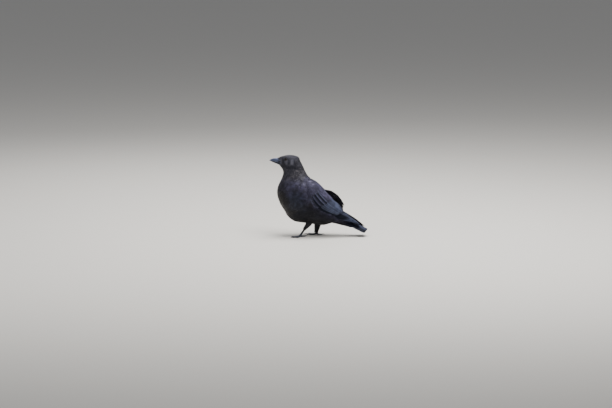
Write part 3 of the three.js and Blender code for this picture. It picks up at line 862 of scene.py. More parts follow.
def leg_material():
    """Black scaled skin of the legs and toes: satin scutes with dusty joints between."""
    material, add = new_material(
        "scaled_skin", IOR=1.5, Specular_IOR_Level=0.35, Specular_Tint=colour("#c3cbe2")
    )
    where = add("TexCoord").node.outputs["Object"]
    height = add("SeparateXYZ", where).node.outputs["Z"]
    scale = add(SMOOTH_STEP, add("TexVoronoi DISTANCE_TO_EDGE", where, 800.0), 0.0, 0.12)
    dust_and_sheen = add("TexNoise", where, 220.0, 4.0)
    # Near the ground the legs turn paler blue grey: partly dust, partly a painted reflection of the sky on
    # the scutes.
    low = add(SMOOTH_STEP, add("Math MULTIPLY_ADD", dust_and_sheen, 0.012, height), 0.012, 0.026, 0.7, 0.0)
    base = add("Mix RGBA", scale, colour("#1f1e1e"), colour("#131418"))
    base = add("Mix RGBA", low, base, colour("#474a52"))
    rough = add(SMOOTH_STEP, dust_and_sheen, 0.3, 0.8, 0.38, 0.62)
    relief = add("Bump", 0.5, 0.0003, Height=scale)
    return set_shader(material, Base_Color=base, Roughness=rough, Normal=relief)


def eye_material():
    """A dark brown iris round a black pupil, under a wet, clear cornea."""
    material, add = new_material(
        "cornea_over_iris", IOR=1.34, Roughness=0.1, Coat_Weight=0.4, Coat_Roughness=0.03,
        Specular_IOR_Level=0.2,
    )
    off = add("Attribute", attribute_name="off_axis").node.outputs["Fac"]
    fibres = add("TexNoise", add("TexCoord").node.outputs["Object"], 1400.0, 2.0)
    iris = add("Mix RGBA", fibres, colour("#0d0704"), colour("#1f120b"))
    base = add("Mix RGBA", add(SMOOTH_STEP, off, 0.36, 0.42), colour("#020202"), iris)
    base = add("Mix RGBA", add(SMOOTH_STEP, off, 0.66, 0.8), base, colour("#0a0706"))
    return set_shader(material, Base_Color=base)


def lid_material():
    """Bare, finely creased lid skin, charcoal with a dry sheen."""
    material, add = new_material("lid_skin", Roughness=0.7, Specular_IOR_Level=0.25)
    grain = add("TexNoise", add("TexCoord").node.outputs["Object"], 2600.0, 2.0)
    base = add("Mix RGBA", grain, colour("#0b0b0d"), colour("#19191c"))
    return set_shader(material, Base_Color=base, Normal=add("Bump", 0.6, 0.0003, Height=grain))


# ---------------------------------------------------------------- the settings a user may change


def length_setting(name, description, default, low, high):
    return FloatProperty(
        name=name, description=description, default=default, unit="LENGTH", min=low, max=high
    )


def colour_setting(name, description, code):
    return FloatVectorProperty(
        name=name, description=description, default=colour(code)[:3], subtype="COLOR", min=0, max=1
    )


class CrowPlumage(bpy.types.PropertyGroup):
    depth: length_setting("Coat depth", "From the feathers' tips down to the skin", 0.0034, 0.001, 0.008)
    head_depth: length_setting("Head coat depth", "The same on head and shanks", 0.0018, 0.0005, 0.004)
    # The violet black is partly a painted sheen, and the umber black partly painted shade.
    violet_black_and_sheen: colour_setting("Violet black", "The feathers' colour on the back and shoulders", "#242232")
    umber_black_and_shade: colour_setting("Umber black", "The feathers' colour on the belly and flanks", "#0a0909")
    neck_black: colour_setting("Neck black", "The feathers' colour on the head and neck", "#1f1e21")
    seed: IntProperty(name="Seed", description="Fixes the feathers' small differences", default=11, min=0)


class CrowHead(bpy.types.PropertyGroup):
    bristles: IntProperty(
        name="Bristles", description="Bristles over the nostrils", default=330, min=30, max=1200
    )
    bristle_length: length_setting("Bristle length", "Length of a bristle", 0.009, 0.005, 0.03)


class CrowStage(bpy.types.PropertyGroup):
    camera_distance: length_setting("Camera distance", "From the camera to the bird", 14.0, 1, 60)
    camera_elevation: FloatProperty(
        name="Camera elevation", description="Above the horizon", default=math.radians(8), subtype="ANGLE"
    )
    floor_colour: colour_setting("Floor", "Colour of the floor", "#d3cfc8")


def plumage():
    return bpy.context.scene.crow_plumage


# ---------------------------------------------------------------- stage


class CROW_OT_stage(bpy.types.Operator):
    """A pale floor, the camera and soft studio light"""

    bl_idname = "crow.stage"
    bl_label = "Stage"

    def execute(self, context):
        scene, settings = context.scene, context.scene.crow_stage
        floor, reach = bpy.data.meshes.new("floor"), 40.0
        corners = [(-reach, -reach, 0), (reach, -reach, 0), (reach, reach, 0), (-reach, reach, 0)]
        floor.from_pydata(corners, [], [(0, 1, 2, 3)])
        material, _ = new_material("plain_floor", Roughness=0.9, Specular_IOR_Level=0.1)
        set_shader(material, Base_Color=(*settings.floor_colour, 1))
        floor.materials.append(material)
        add_object("floor", floor)

        # The camera looks at the bird's left side from a little above, its aim behind the breast.
        aim, distance = Vector(to_row((-14.4, 0, 116.2))), settings.camera_distance
        field = 2.2032  # metres across at the bird
        rise = settings.camera_elevation
        back = Vector((0, -math.cos(rise), math.sin(rise)))
        lens = bpy.data.cameras.new("camera")
        lens.sensor_width, lens.lens, lens.clip_end = 36, 36 * distance / field, 200
        scene.camera = add_object("camera", lens)
        scene.camera.location = aim + back * distance
        scene.camera.rotation_euler = (-back).to_track_quat("-Z", "Y").to_euler()

        for name, place, size, power in (
            ("top_softbox", (0.35, 0.2, 2.6), 2.0, 112),
            ("key_softbox", (1.0, -1.3, 2.3), 1.6, 52),
            ("rim_softbox", (-0.6, 1.9, 1.7), 1.2, 14),
            ("fill_softbox", (-2.2, -1.6, 1.4), 1.6, 12),
        ):
            light = bpy.data.lights.new(name, "AREA")
            light.shape, light.size, light.energy = "DISK", size, power
            lamp = add_object(name, light)
            lamp.location = place
            lamp.rotation_euler = (Vector((0, 0, 0.15)) - lamp.location).to_track_quat("-Z", "Y").to_euler()
        world = bpy.data.worlds.new("studio")
        world.use_nodes = True
        sky = world.node_tree.nodes["Background"].inputs
        sky[0].default_value, sky[1].default_value = colour("#dfe3ea"), 0.36
        scene.world = world
        return {"FINISHED"}


# ---------------------------------------------------------------- skin


FLESH = ("head", "neck", "trunk", "thigh_left", "thigh_right")
SKIN_GRAIN = 0.0019  # metres between the skin's points: the solids join, and the face keeps its form


class CROW_OT_skin(bpy.types.Operator):
    """One skin over head, neck, trunk and thighs, sunk by the coat's depth"""

    bl_idname = "crow.skin"
    bl_label = "Skin"

    def execute(self, context):
        shell = bmesh.new()
        for name in FLESH:
            shell.from_mesh(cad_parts[name].data)
        bmesh.ops.remove_doubles(shell, verts=shell.verts, dist=1e-6)
        # Flesh behind the eyes and in the mouth's corners, where the solids leave room.
        for middle, radii in (
            (eye_middle(LEFT), (7.2, 7.2, 7.2)),
            (eye_middle(RIGHT), (7.2, 7.2, 7.2)),
            (np.array([-99.0, 0, 265.5]), (13.5, 11.5, 9.5)),
        ):
            for vertex in bmesh.ops.create_uvsphere(shell, u_segments=24, v_segments=16, radius=1.0)["verts"]:
                vertex.co = Vector(to_row(middle + np.array(vertex.co) * radii))
        mesh = bpy.data.meshes.new("skin")
        shell.to_mesh(mesh)
        shell.free()
        skin = add_object("skin", mesh)
        remesh = skin.modifiers.new("join", "REMESH")
        remesh.mode, remesh.voxel_size, remesh.adaptivity = "VOXEL", SKIN_GRAIN, 0.0
        relax = skin.modifiers.new("relax", "SMOOTH")
        relax.factor, relax.iterations = 0.5, 6
        whole = bpy.data.meshes.new_from_object(skin.evaluated_get(context.evaluated_depsgraph_get()))
        skin.modifiers.clear()
        skin.data = whole
        whole.name = "skin"
        points, normals = np.empty((2, len(whole.vertices) * 3))
        whole.vertices.foreach_get("co", points)
        whole.vertices.foreach_get("normal", normals)
        draft, normals = (points.reshape(-1, 3) - np.array(ORIGIN)) * 1000, normals.reshape(-1, 3)
        # The coat grows deeper from the face down the neck, and is thin again on the shanks.
        settings, from_face = plumage(), np.linalg.norm(draft - [-110, 0, 268], axis=1)
        depth = mix(settings.head_depth, settings.depth, smooth((from_face - 55) / 70))
        depth = np.where(draft[:, 2] < 44, settings.head_depth, depth)
        sunk = narrowed(draft - normals * depth[:, None] * 1000)
        whole.vertices.foreach_set("co", to_row(sunk).ravel())
        whole.polygons.foreach_set("use_smooth", np.ones(len(whole.polygons), bool))
        whole.materials.clear()
        whole.materials.append(skin_material())
        whole.update()
        settle(skin, FLESH)
        return {"FINISHED"}


# ---------------------------------------------------------------- coat of the body


# By place along the body: a feather's length and width, and the depth of its root.
COAT = np.array(
    [
        (5.0, 8.5, 4.2, 1.7),
        (6.2, 11, 5.2, 2.2),
        (7.4, 15, 7.2, 2.8),
        (8.7, 18, 9.5, 3.1),
        (11, 22, 12, 3.4),
        (15, 24, 12.5, 3.4),
        (18, 27, 12.5, 3.2),
        (20, 30, 12, 2.8),
    ]
)
# By piece: its finish, the places and then the angles it runs between, and what sets its feathers apart.
COAT_PIECES = {
    "coat_neck": (
        "neck_hackles", 5.7, 8.9, -90, 270,
        {"fullest": 0.5, "blunt": 0.2, "rows_apart": 0.24, "ragged": 0.05, "fringe": 0.07, "grid": (6, 4)},
    ),
    "coat_breast": ("breast_plumes", 8.7, 12.4, -224, 44, {"beside_wings": True, "grid": (9, 12)}),
    "coat_mantle": (
        "mantle_plumes", 8.5, 16.2, 38, 142,
        {"beside_wings": True, "wider": 1.15, "lift": 0.3, "grid": (9, 12)},
    ),
    "coat_belly": (
        "belly_plumes", 12.4, 17.6, -220, 40,
        {"beside_wings": True, "ragged": 0.04, "fringe": 0.04, "grid": (9, 12)},
    ),
    "coat_rump": ("mantle_plumes", 16.2, 20.2, 22, 158, {"longer": 1.1}),
    "coat_vent": ("vent_plumes", 17.6, 20.2, -212, 32, {"longer": 1.05, "fringe": 0.05}),
}


def between(size, least, most):
    """A pair of sizes to draw between."""
    return size * least, size * most


def coat_size(place):
    """A feather's length, width and the depth of its root by place along the body."""
    return [np.interp(place, COAT[:, 0], COAT[:, k]) for k in range(1, 4)]


def unwrap_body(place, degrees):
    return 0.01 + 0.97 * ((degrees + 90) % 360) / 360, 0.01 + 0.97 * np.clip(place, 0, 20) / 20


def lean_of(degrees):
    """An angle round the body as seen from its nearer side: 90 at the back, -90 at the belly."""
    return np.degrees(np.arcsin(np.sin(np.radians(degrees))))


def under_wing(place, degrees):
    """True where a folded wing hides the body."""
    lower, lean = wing_shape(place)[1], lean_of(degrees)
    return (place > WING["start"] + 0.6) & (place < 15.8) & (lean > lower + 4) & (lean < 66)


def over_wing(place, degrees):
    """How far the tips of breast and flank feathers stand out to lie over the wing's front and lower edge."""
    lower = wing_shape(np.clip(place + 0.8, 8.6, 16.4))[1]
    near_edge = 1 - np.abs(lean_of(degrees) - lower + 2) / 15
    return 4.3 * smooth(near_edge) * smooth((place - 7.4) / 0.8) * smooth((16.6 - place) / 1.2)


def body_batch(
    start, stop, low, high, rng, beside_wings=False, longer=1.0, wider=1.0, lift=0.0, rows_apart=0.33, **shape
):
    """The feathers between two places and two angles of the body; beside_wings leaves out what those hide."""
    place, degrees = staggered(
        body_at, start, stop, low, high,
        lambda p: rows_apart * longer * coat_size(p)[0], lambda p: 0.5 * wider * coat_size(p)[1], rng,
    )
    if beside_wings:
        open_side = ~under_wing(place, degrees)
        place, degrees = place[open_side], degrees[open_side]
    length, width, depth = coat_size(place)
    tip = lift + over_wing(place, degrees)
    return feathers(
        body_at, place, degrees, between(length * longer, 0.9, 1.12), between(width * wider, 0.9, 1.1),
        -depth, (tip - 0.45, tip + 0.25), 4, unwrap_body, rng, **shape,
    )


class CROW_OT_body_coat(bpy.types.Operator):
    """Feathers of the neck, breast, belly, back and rump"""

    bl_idname = "crow.body_coat"
    bl_label = "Body coat"

    def execute(self, context):
        rng = np.random.default_rng(plumage().seed)
        finishes = dict.fromkeys(row[0] for row in COAT_PIECES.values())
        coats = {finish: feather_material(finish) for finish in finishes}
        for name, (finish, *reach, shape) in COAT_PIECES.items():
            mesh_piece(name, body_batch(*reach, rng, **shape), coats[finish])
        return {"FINISHED"}


# ---------------------------------------------------------------- wings


ARM_ROWS, COVERT_ROWS, HAND_ROWS, TAIL_ROWS = 22, 14, 26, 26  # rows of faces along each long feather


def wing_bed(side):
    """The closed shell of down and skin that a wing's feathers lie on."""
    rows, columns = 34, 18
    places = np.linspace(WING["start"] + 0.1, WING["end"][side] - 0.25, rows)
    p, q = np.meshgrid(places, np.linspace(0.03, 0.985, columns), indexing="ij")
    over = np.maximum(mix(WING["edge"], wing_shape(p)[2], wing_swell(q)) - 2.6, 0.25)
    surface = wing_at(side, inner=True)
    outer, inner = (surface(p, q, height).reshape(rows, columns, 3) for height in (over, 0.0))
    return tube(np.concatenate([outer, inner[:, ::-1]], 1))


def hand_bed(side):
    """The closed stack of inner vanes under the long feathers of the hand."""
    rows, columns = 24, 12
    deep = 1.6 if side == LEFT else 4.5
    p, q = np.meshgrid(np.linspace(-0.3, 0.95, rows), np.linspace(0.04, 0.96, columns), indexing="ij")
    outer = hand_at(side)(p, q, -2.4 + 1.5 * smooth(p / 0.5)).reshape(rows, columns, 3)
    inner = hand_at(side, inner=True)(p, q, -deep * smooth(p / 0.7)).reshape(rows, columns, 3)
    return tube(np.concatenate([outer, inner[:, ::-1]], 1), start=False, end=False)


def flight_specs(side):
    """The arm's long feathers from the top one down, each over the next, and the broad ones above them."""
    end = WING["end"][side]
    back = smooth((np.linspace(0, 1, ARM_ROWS + 1)[:, None] - 0.35) / 0.2)
    specs = []
    for i in range(9):
        k, odd = i / 8, i % 2
        # Painted light and shade: the upper feathers are painted shining and the lower ones, turned down,
        # dark as in shade; near the roots every other one is darker, painting the shadow between them.
        spec = dict(
            places=(11.0, mix(end - 0.03, end - 0.35, k)), vanes=(0.07, 0.13), tone=(0.95, 0.1)[odd],
            shine=mix(1.3, 0.15, smooth((k - 0.5) / 0.4)) * mix((1.2, 0.35)[odd], 1.0, back),
            shaded=k > 0.8, shaft=(0.62 - 0.50 * k, 0.66 - 0.58 * k),
            height=(-1.3 - 0.07 * i, -0.35 - 0.07 * i), roll=-0.55,
        )
        specs.append(spec)
    for i, short in enumerate((1.55, 0.95, 0.45, 0.0)):
        k = i / 3
        spec = dict(
            places=(11.2, end - short), vanes=(0.13, 0.15), shaft=(0.92 - 0.24 * k, 0.9 - 0.2 * k),
            height=(-0.3, 0.75 - 0.3 * i), roll=-0.35, fullest=0.66, blunt=0.3,
        )
        specs.append(spec)
    return specs


def covert_specs():
    """Two rows of coverts, the greater first, and the stiff feathers of the wing's wrist."""
    specs = []
    for start, long, count, high, height in ((10.6, 2.9, 10, 0.66, 0.55), (10.15, 1.5, 9, 0.7, 1.0)):
        for i in range(count):
            k, odd = i / (count - 1), i % 2
            shaft = mix(high, 0.05, k)
            # Painted light and shade: every other covert is painted dark, and the dark ones of the greater
            # row lie in the shaded vanes, painting the shadow in the stripes between them.
            spec = dict(
                places=(start, start + long * mix(1.0, 1.04, k)), vanes=(0.068, 0.10625),
                tone=(0.95, 0.05)[odd], shine=mix(0.8, 1.0, smooth(1.6 * (1 - k))) * (1.4, 0.3)[odd],
                shaded=odd == 1 and 0.2 < k and start > 10.5, shaft=(shaft, shaft - 0.02),
                height=(height - 1.4 - 0.05 * i, height - 0.05 * i), roll=-0.3, fullest=0.6, blunt=0.35,
            )
            specs.append(spec)
    for i in range(4):
        spec = dict(
            places=(10.9 + 0.15 * i, 13.9 - 0.55 * i), vanes=(0.03, 0.05),
            shaft=(0.03 + 0.028 * i, 0.03 + 0.028 * i), height=(-0.5 + 0.3 * i, 0.5 + 0.3 * i), roll=-0.2,
        )
        specs.append(spec)
    return specs


def primary_specs():
    """The long feathers of the hand. The upper ones have a painted shine over the rump; over the tail the
    lower ones do, and elsewhere they are painted dark as in shade.
    """
    ends = (0.8, 0.87, 0.93, 0.975, 1.0, 1.0, 0.97)
    along = smooth((np.linspace(0, 1, HAND_ROWS + 1)[:, None] - 0.45) / 0.2)
    specs = []
    for i, end in enumerate(ends):
        k = i / (len(ends) - 1)
        over_rump, over_tail = mix(1.2, 0.15, smooth(k / 0.5)), mix(0.15, 1.1, smooth((k - 0.15) / 0.3))
        spec = dict(
            places=(-0.4, end), vanes=(0.2, 0.13), tone=(0.9, 0.15)[i % 2],
            shine=mix(over_rump, over_tail, along), shaded=k > 0.4 or k < 0.1,
            shaft=(0.12 + 0.76 * k, 0.1 + 0.8 * k), height=(-1.6 - 0.12 * i, -0.1 - 0.12 * i, 2.5),
            roll=0.5, shown=1, fullest=0.8, blunt=0.22, arc=0.06,
        )
        specs.append(spec)
    return specs


def unwrap_wing(place, share):
    return 0.01 + 0.97 * (place - 8) / 9, 0.01 + 0.9 * np.clip(share, 0, 1.1) / 1.1


def wing_lining(side, rng):
    """The feathers on the under side of a wing that stands off the body."""
    inside = wing_at(side, inner=True)

    def below(place, share, out=0.0):
        return inside(place, share, -np.asarray(out, float))

    place, share = staggered(below, 12.2, 16.0, 0.42, 1.0, 8, 6, rng)
    length = between(mix(24, 16, smooth((place - 14.5) / 1.5)), 0.9, 1.1)
    return feathers(below, place, share, length, (9, 11), -0.6, (0.1, 0.8), 3, unwrap_wing, rng)


def shoulder_batches(surface, rng):
    """Lesser coverts over the wing's front, and the broad shoulder feathers that lie over them."""
    place, share = staggered(surface, 8.45, 11.0, -0.05, 1.0, 4.4, 4.6, rng)
    root = mix(-3.6, -1.2, smooth((place - 8.4) / 1.1))
    lesser = feathers(
        surface, place, share, (12, 15), (8, 9.5), root, (0.5, 0.65), 3, unwrap_wing, rng,
        camber=0.14, roll=0.2, shingled=True,
    )
    place, share = staggered(surface, 8.6, 12.3, 0.6, 1.06, 8.5, 9.5, rng)
    grown = smooth((place - 8.5) / 1.5)
    length, width = between(mix(15, 30, grown), 0.9, 1.1), between(mix(11, 16.5, grown), 0.92, 1.08)
    shoulder = feathers(
        surface, place, share, length, width, mix(-3.4, -1.4, grown), (1.22, 1.42), 2, unwrap_wing, rng,
        grid=(12, 12), camber=0.16, roll=0.22, shingled=True, blunt=0.5, ragged=0.015, fringe=0.02,
    )
    # The painted shine is even, and a little stronger at the edges.
    for batch, shine in ((lesser, 0.22), (shoulder, 0.45)):
        batch["marks"]["outer"] = shine + 0.2 * batch["marks"]["outer"]
    return [lesser, shoulder]


class CROW_OT_wings(bpy.types.Operator):
    """Both folded wings: bed, coverts, shoulder feathers and flight feathers"""

    bl_idname = "crow.wings"
    bl_label = "Wings"

    def execute(self, context):
        rng = np.random.default_rng(plumage().seed + 1)
        finishes = ("flight_vanes", "shaded_vanes", "wing_covert_vanes", "shoulder_vanes", "wing_lining")
        flight, shaded, covert, shoulder, lining = (feather_material(finish) for finish in finishes)
        down = bpy.data.materials.get("down_black") or skin_material()
        for word, side in SIDES.items():
            surface, hand = wing_at(side), hand_at(side)
            nodes = [f"wing_{word}_{part}" for part in ("coverts", "secondaries", "primaries")]
            mesh_piece(f"wing_bed_{word}", wing_bed(side), down, nodes, closed=True)
            for name, lower_name, specs, bed, coat, rows, thickness in (
                ("secondaries", "lower_secondaries", flight_specs(side), surface, flight, ARM_ROWS, 0.45),
                ("wing_coverts", "shaded_coverts", covert_specs(), surface, covert, COVERT_ROWS, 0.35),
                ("primaries", "lower_primaries", primary_specs(), hand, flight, HAND_ROWS, 0.45),
            ):
                if bed is hand:
                    mesh_piece(f"hand_bed_{word}", hand_bed(side), down, nodes, closed=True)
                for piece, chosen, finish in ((name, False, coat), (lower_name, True, shaded)):
                    group = [spec for spec in specs if spec.get("shaded", False) == chosen]
                    made = blades(bed, group, rows, rng, thickness)
                    mesh_piece(f"{piece}_{word}", made, finish, nodes, closed=True)
            if HAND["lifted"][side] == 0:
                mesh_piece(f"coat_lining_{word}", wing_lining(side, rng), lining)
            mesh_piece(f"coat_shoulder_{word}", joined(shoulder_batches(surface, rng)), shoulder)
        return {"FINISHED"}


# ---------------------------------------------------------------- tail


def tail_specs(rng):
    """The tail's feathers from left to right, the middle pair on top."""
    inner, outer, count = 0.3, 0.2, TAIL["feathers"]
    specs = []
    for k in range(count):
        share = (k + 0.5) * 2 / count - 1
        outward, from_middle = (1 if share > 0 else -1), abs(share)
        # Painted light and shade: the middle pair and the two left of them are painted shining, and the rest
        # dark as in shade.
        spec = dict(
            places=(0.02, 1.0 - 0.012 * rng.random()), vanes=(inner, outer)[::outward],
            shaft=(share * 0.93 * 0.85, share * 0.93, 2),
            height=(-1.6 - 1.2 * from_middle, 0.35 - 1.2 * from_middle), roll=0.35 * outward, shown=outward,
            shine=1.2 if -0.5 < share < 0.1 else 0.2, camber=0.3, fullest=0.88, blunt=0.72, arc=0.025,
        )
        specs.append(spec)
    return specs


def unwrap_tail(along, share):
    return 0.01 + 0.9 * np.clip(along, 0, 1), 0.01 + 0.9 * (share + 1) / 2


class CROW_OT_tail(bpy.types.Operator):
    """Twelve tail feathers, the middle pair on top, and the coverts over and under their roots"""

    bl_idname = "crow.tail"
    bl_label = "Tail"

    def execute(self, context):
        rng = np.random.default_rng(plumage().seed + 2)
        vanes = feather_material("tail_vanes")
        made = blades(tail_at, tail_specs(rng), TAIL_ROWS, rng, thickness=0.4)
        mesh_piece("tail_feathers", made, vanes, ("tail",), closed=True)
        batches = []
        for surface, stop in ((tail_at, 0.2), (tail_below, 0.3)):
            roots = staggered(surface, 0.0, stop, -0.75, 0.75, 7, 7, rng)
            sizes = (26, 32), (12, 15), -0.8, (0.6, 1.4)
            batches.append(feathers(surface, *roots, *sizes, 3, unwrap_tail, rng, grid=(8, 4)))
        mesh_piece("coat_tail", joined(batches), vanes)
        return {"FINISHED"}


# ---------------------------------------------------------------- legs and feet


def loft(surface, shares, degrees):
    """A closed loft of a surface given by share and angle, its ends drawn together."""
    s, a = np.meshgrid(shares, degrees, indexing="ij")
    return tube(surface(s.ravel(), a.ravel()).reshape(len(shares), len(degrees), 3))


def scaled(surface, count, deep, wide):
    """Adds overlapping scutes to a limb's front, at -90 degrees; each stands out at its lower end."""

    def with_scutes(share, degrees, out=0.0):
        front = np.clip(1 - np.abs(((degrees + 90 + 180) % 360) - 180) / wide, 0, 1) ** 0.4
        within = (share * count) % 1
        return surface(share, degrees, out + deep * front * (within**1.5 - 0.45))

    return with_scutes


def shank_loft(leg, degrees):
    """The bare leg from under the thigh's feathers down to the toes' joint."""
    ankle, foot = np.array(leg["ankle"], float), np.array(leg["foot"], float)
    start = mix(ankle, foot, leg["feather_end"] - 0.06)
    top, middle, low = TARSUS

    def radius_at(share):
        above = mix(top, middle, smooth(share * 2))
        return np.where(share < 0.5, above, mix(middle, low, (2 * share - 1).clip(0) ** 3))

    shank = limb_at([start, mix(start, foot, 0.5), foot], radius_at, 0.86)
    count = round(np.linalg.norm(foot - start) / 4.2)
    return loft(scaled(shank, count, 0.5, 80), np.linspace(0, 1, 12 * count), degrees)


def toe_lofts(leg, length, turn, degrees):
    """A toe with its pads and scutes, and its claw."""
    angle, foot = math.radians(leg["heading"] + turn), np.array(leg["foot"], float)
    out = np.array([-math.cos(angle), leg["side"] * math.sin(angle), 0])

    def at(reach, height):
        return np.append((foot + out * reach)[:2], height)

    def plain(share):
        return mix(TOE["root"], TOE["tip"], share)

    def radius_at(share):
        return plain(share) * (1 + 0.09 * np.cos(2 * np.pi * share * round(length / 11)))

    flats = [at(length * share, TOE["height"] * plain(share)) for share in (0.34, 0.67, 1)]
    toe = limb_at([at(0.2, foot[2] - 0.2), *flats], radius_at)
    plates = round(length / 2.7)
    hook = ((-1.5, 2.1), (3.2, 2.9), (7.6, 2.6), (11.2, 0.5))
    hook = [at(length + reach, height) for reach, height in hook]
    claw = limb_at(hook, lambda share: mix(1.85, 0.22, share**1.25), 0.72)
    return (
        loft(scaled(toe, plates, 0.42, 95), np.linspace(0, 1, 9 * plates), degrees),
        loft(claw, np.linspace(0, 1, 22), np.arange(0, 360, 22.5)),
    )


def unwrap_thigh(share, degrees):
    return 0.01 + 0.95 * (degrees % 360) / 360, 0.01 + 0.95 * share


def thigh_batch(leg, rng):
    """The feathers round a thigh, shorter and closer towards the shank."""
    thigh = limb_at(*thigh_path(leg), 0.8)
    place, degrees = staggered(thigh, 0.18, 0.95, 0, 360, 4.6, lambda p: mix(6.5, 3.4, p), rng)
    length, width = between(mix(20, 12, place), 0.9, 1.1), between(mix(11, 5.5, place), 0.9, 1.1)
    return feathers(
        thigh, place, degrees, length, width, mix(-2.6, -1.6, place), (-0.2, 0.9), 5, unwrap_thigh, rng,
        ragged=0.04, fringe=0.05,
    )


class CROW_OT_legs(bpy.types.Operator):
    """Scaled legs and toes, claws, and the feathers of the thighs"""

    bl_idname = "crow.legs"
    bl_label = "Legs"

    def execute(self, context):
        rng = np.random.default_rng(plumage().seed + 3)
        leather, horn = leg_material(), horn_material("keratin_of_claws", dull=True)
        plume = feather_material("thigh_plumes")
        degrees = np.arange(0, 360, 15.0)
        for word, leg in LEGS.items():
            toes, claws = zip(*(toe_lofts(leg, *size, degrees) for size in TOES.values()))
            foot = joined([shank_loft(leg, degrees), *toes])
            toe_nodes, claw_nodes = ([f"{part}_{word}_{name}" for name in TOES] for part in ("toe", "claw"))
            mesh_piece(f"foot_{word}", foot, leather, [f"tarsus_{word}", *toe_nodes], closed=True)
            mesh_piece(f"claws_{word}", joined(claws), horn, claw_nodes, closed=True)
            mesh_piece(f"coat_thigh_{word}", thigh_batch(leg, rng), plume)
        return {"FINISHED"}


# ---------------------------------------------------------------- head


def bill_half(upper):
    """A half of the bill: to 180 degrees its keeled outside, and on to 360 the arched inside of the mouth."""
    half = bill_at(upper)

    def ring_at(share, turn):
        outside, back = turn <= 180, ((360 - turn) / 180).clip(0, 1)
        degrees = np.where(outside, turn, 0.0)
        keel = 0.45 * np.exp(-(((degrees - 90) / 9.0) ** 2)) * (1 - share) * upper * outside
        right, left = half(share, 0.0), half(share, 180.0)
        inner = right + (left - right) * back[:, None]
        inner[:, 2] += (1.5 if upper else 1.3) * np.sin(np.pi * back) * (1 - share) ** 0.7
        return np.where(outside[:, None], half(share, degrees, keel), inner)

    count = 60
    shares = 1 - np.cos(np.linspace(0.02, np.pi / 2, count))
    shares = 0.5 * shares / shares[-1] + 0.5 * np.linspace(0, 1, count)
    turns = np.concatenate([np.linspace(0, 180, 37), np.linspace(198, 342, 9)])
    return loft(ring_at, 1 - shares[::-1], turns)


class CROW_OT_bill(bpy.types.Operator):
    """The bill's two halves, with a keeled culmen and sharp edges"""

    bl_idname = "crow.bill"
    bl_label = "Bill"

    def execute(self, context):
        for word, upper in (("upper", True), ("lower", False)):
            horn = horn_material("keratin_of_bill_" + word, dull=not upper)
            mesh_piece(f"bill_{word}_horn", bill_half(upper), horn, [f"bill_{word}"], closed=True)
        return {"FINISHED"}


def eye_frame(side):
    """An eye's middle, the way it looks, which is a little forward and up, and the ways ahead and up."""
    axis = unit(np.array([-0.2, side, 0.06]))
    ahead = unit(np.cross([0, 0, 1.0], axis))
    return eye_middle(side), axis, ahead, np.cross(axis, ahead)


# From the rim of the opening outwards: distance from the eye's axis, and height over its middle.
LID = {
    "stops": (0, 0.12, 0.25, 0.4, 0.6, 1.0),
    "wide": (4.15, 4.25, 4.45, 4.75, 5.2, 6.6),
    "high": (4.3, 5.05, 5.15, 4.85, 4.1, 1.2),
}


def rings(shares, columns):
    """The share and the angle of every point of rings about an axis."""
    share, turn = np.meshgrid(shares, np.arange(columns) * 2 * np.pi / columns, indexing="ij")
    return share.ravel(), turn.ravel()


def eyeball(side):
    """The ball with its bulging cornea, closed behind; off_axis is the angle from where it looks."""
    middle, axis, ahead, above = eye_frame(side)
    rows, columns, radius = 40, 48, EYE["radius"]
    off, turn = rings(np.linspace(0, np.pi * 0.75, rows), columns)
    round_it = np.cos(turn)[:, None] * ahead + np.sin(turn)[:, None] * above
    reach = radius * 0.97 * (1 + 0.045 * (1 - smooth(off / 0.75)))
    points = middle + reach[:, None] * (np.cos(off)[:, None] * axis + np.sin(off)[:, None] * round_it)
    back = np.full((columns, 3), middle - axis * radius * 0.6)
    return {
        "points": np.concatenate([points, back]),
        "quads": grid_quads(rows + 1, columns, wrap=True),
        "marks": {"off_axis": np.concatenate([off, np.full(columns, 3.0)])},
    }


def lids(side):
    """Lids that rise from the ball in a rolled rim round an oval opening, then slope out under feathers."""
    middle, axis, ahead, above = eye_frame(side)
    rows, columns = 26, 64
    v, turn = rings(np.linspace(0, 1, rows), columns)
    oval = 1 + (0.08 * np.cos(2 * turn) + 0.04 * np.cos(turn)) * (1 - smooth(v / 0.5))
    wide, high = (np.interp(v, LID["stops"], LID[key]) for key in ("wide", "high"))
    creases = 0.1 * np.sin(10 * np.pi * v) * smooth((v - 0.3) / 0.2) * (0.6 + 0.4 * np.sin(3 * turn + 1))
    beads = 0.07 * np.sin(turn * 32) * np.exp(-(((v - 0.25) / 0.1) ** 2))
    round_it = np.cos(turn)[:, None] * ahead + np.sin(turn)[:, None] * above
    points = middle + (high + creases + beads)[:, None] * axis + (wide * oval)[:, None] * round_it
    return {"points": points, "quads": grid_quads(rows, columns, wrap=True)}


class CROW_OT_eyes(bpy.types.Operator):
    """Eyes with dark irises, and the rims of their lids"""

    bl_idname = "crow.eyes"
    bl_label = "Eyes"

    def execute(self, context):
        wet, lid = eye_material(), lid_material()
        for word, side in SIDES.items():
            mesh_piece(f"eyeball_{word}", eyeball(side), wet, [f"eye_{word}"], closed=True)
            mesh_piece(f"lids_{word}", lids(side), lid, closed=True)
        return {"FINISHED"}


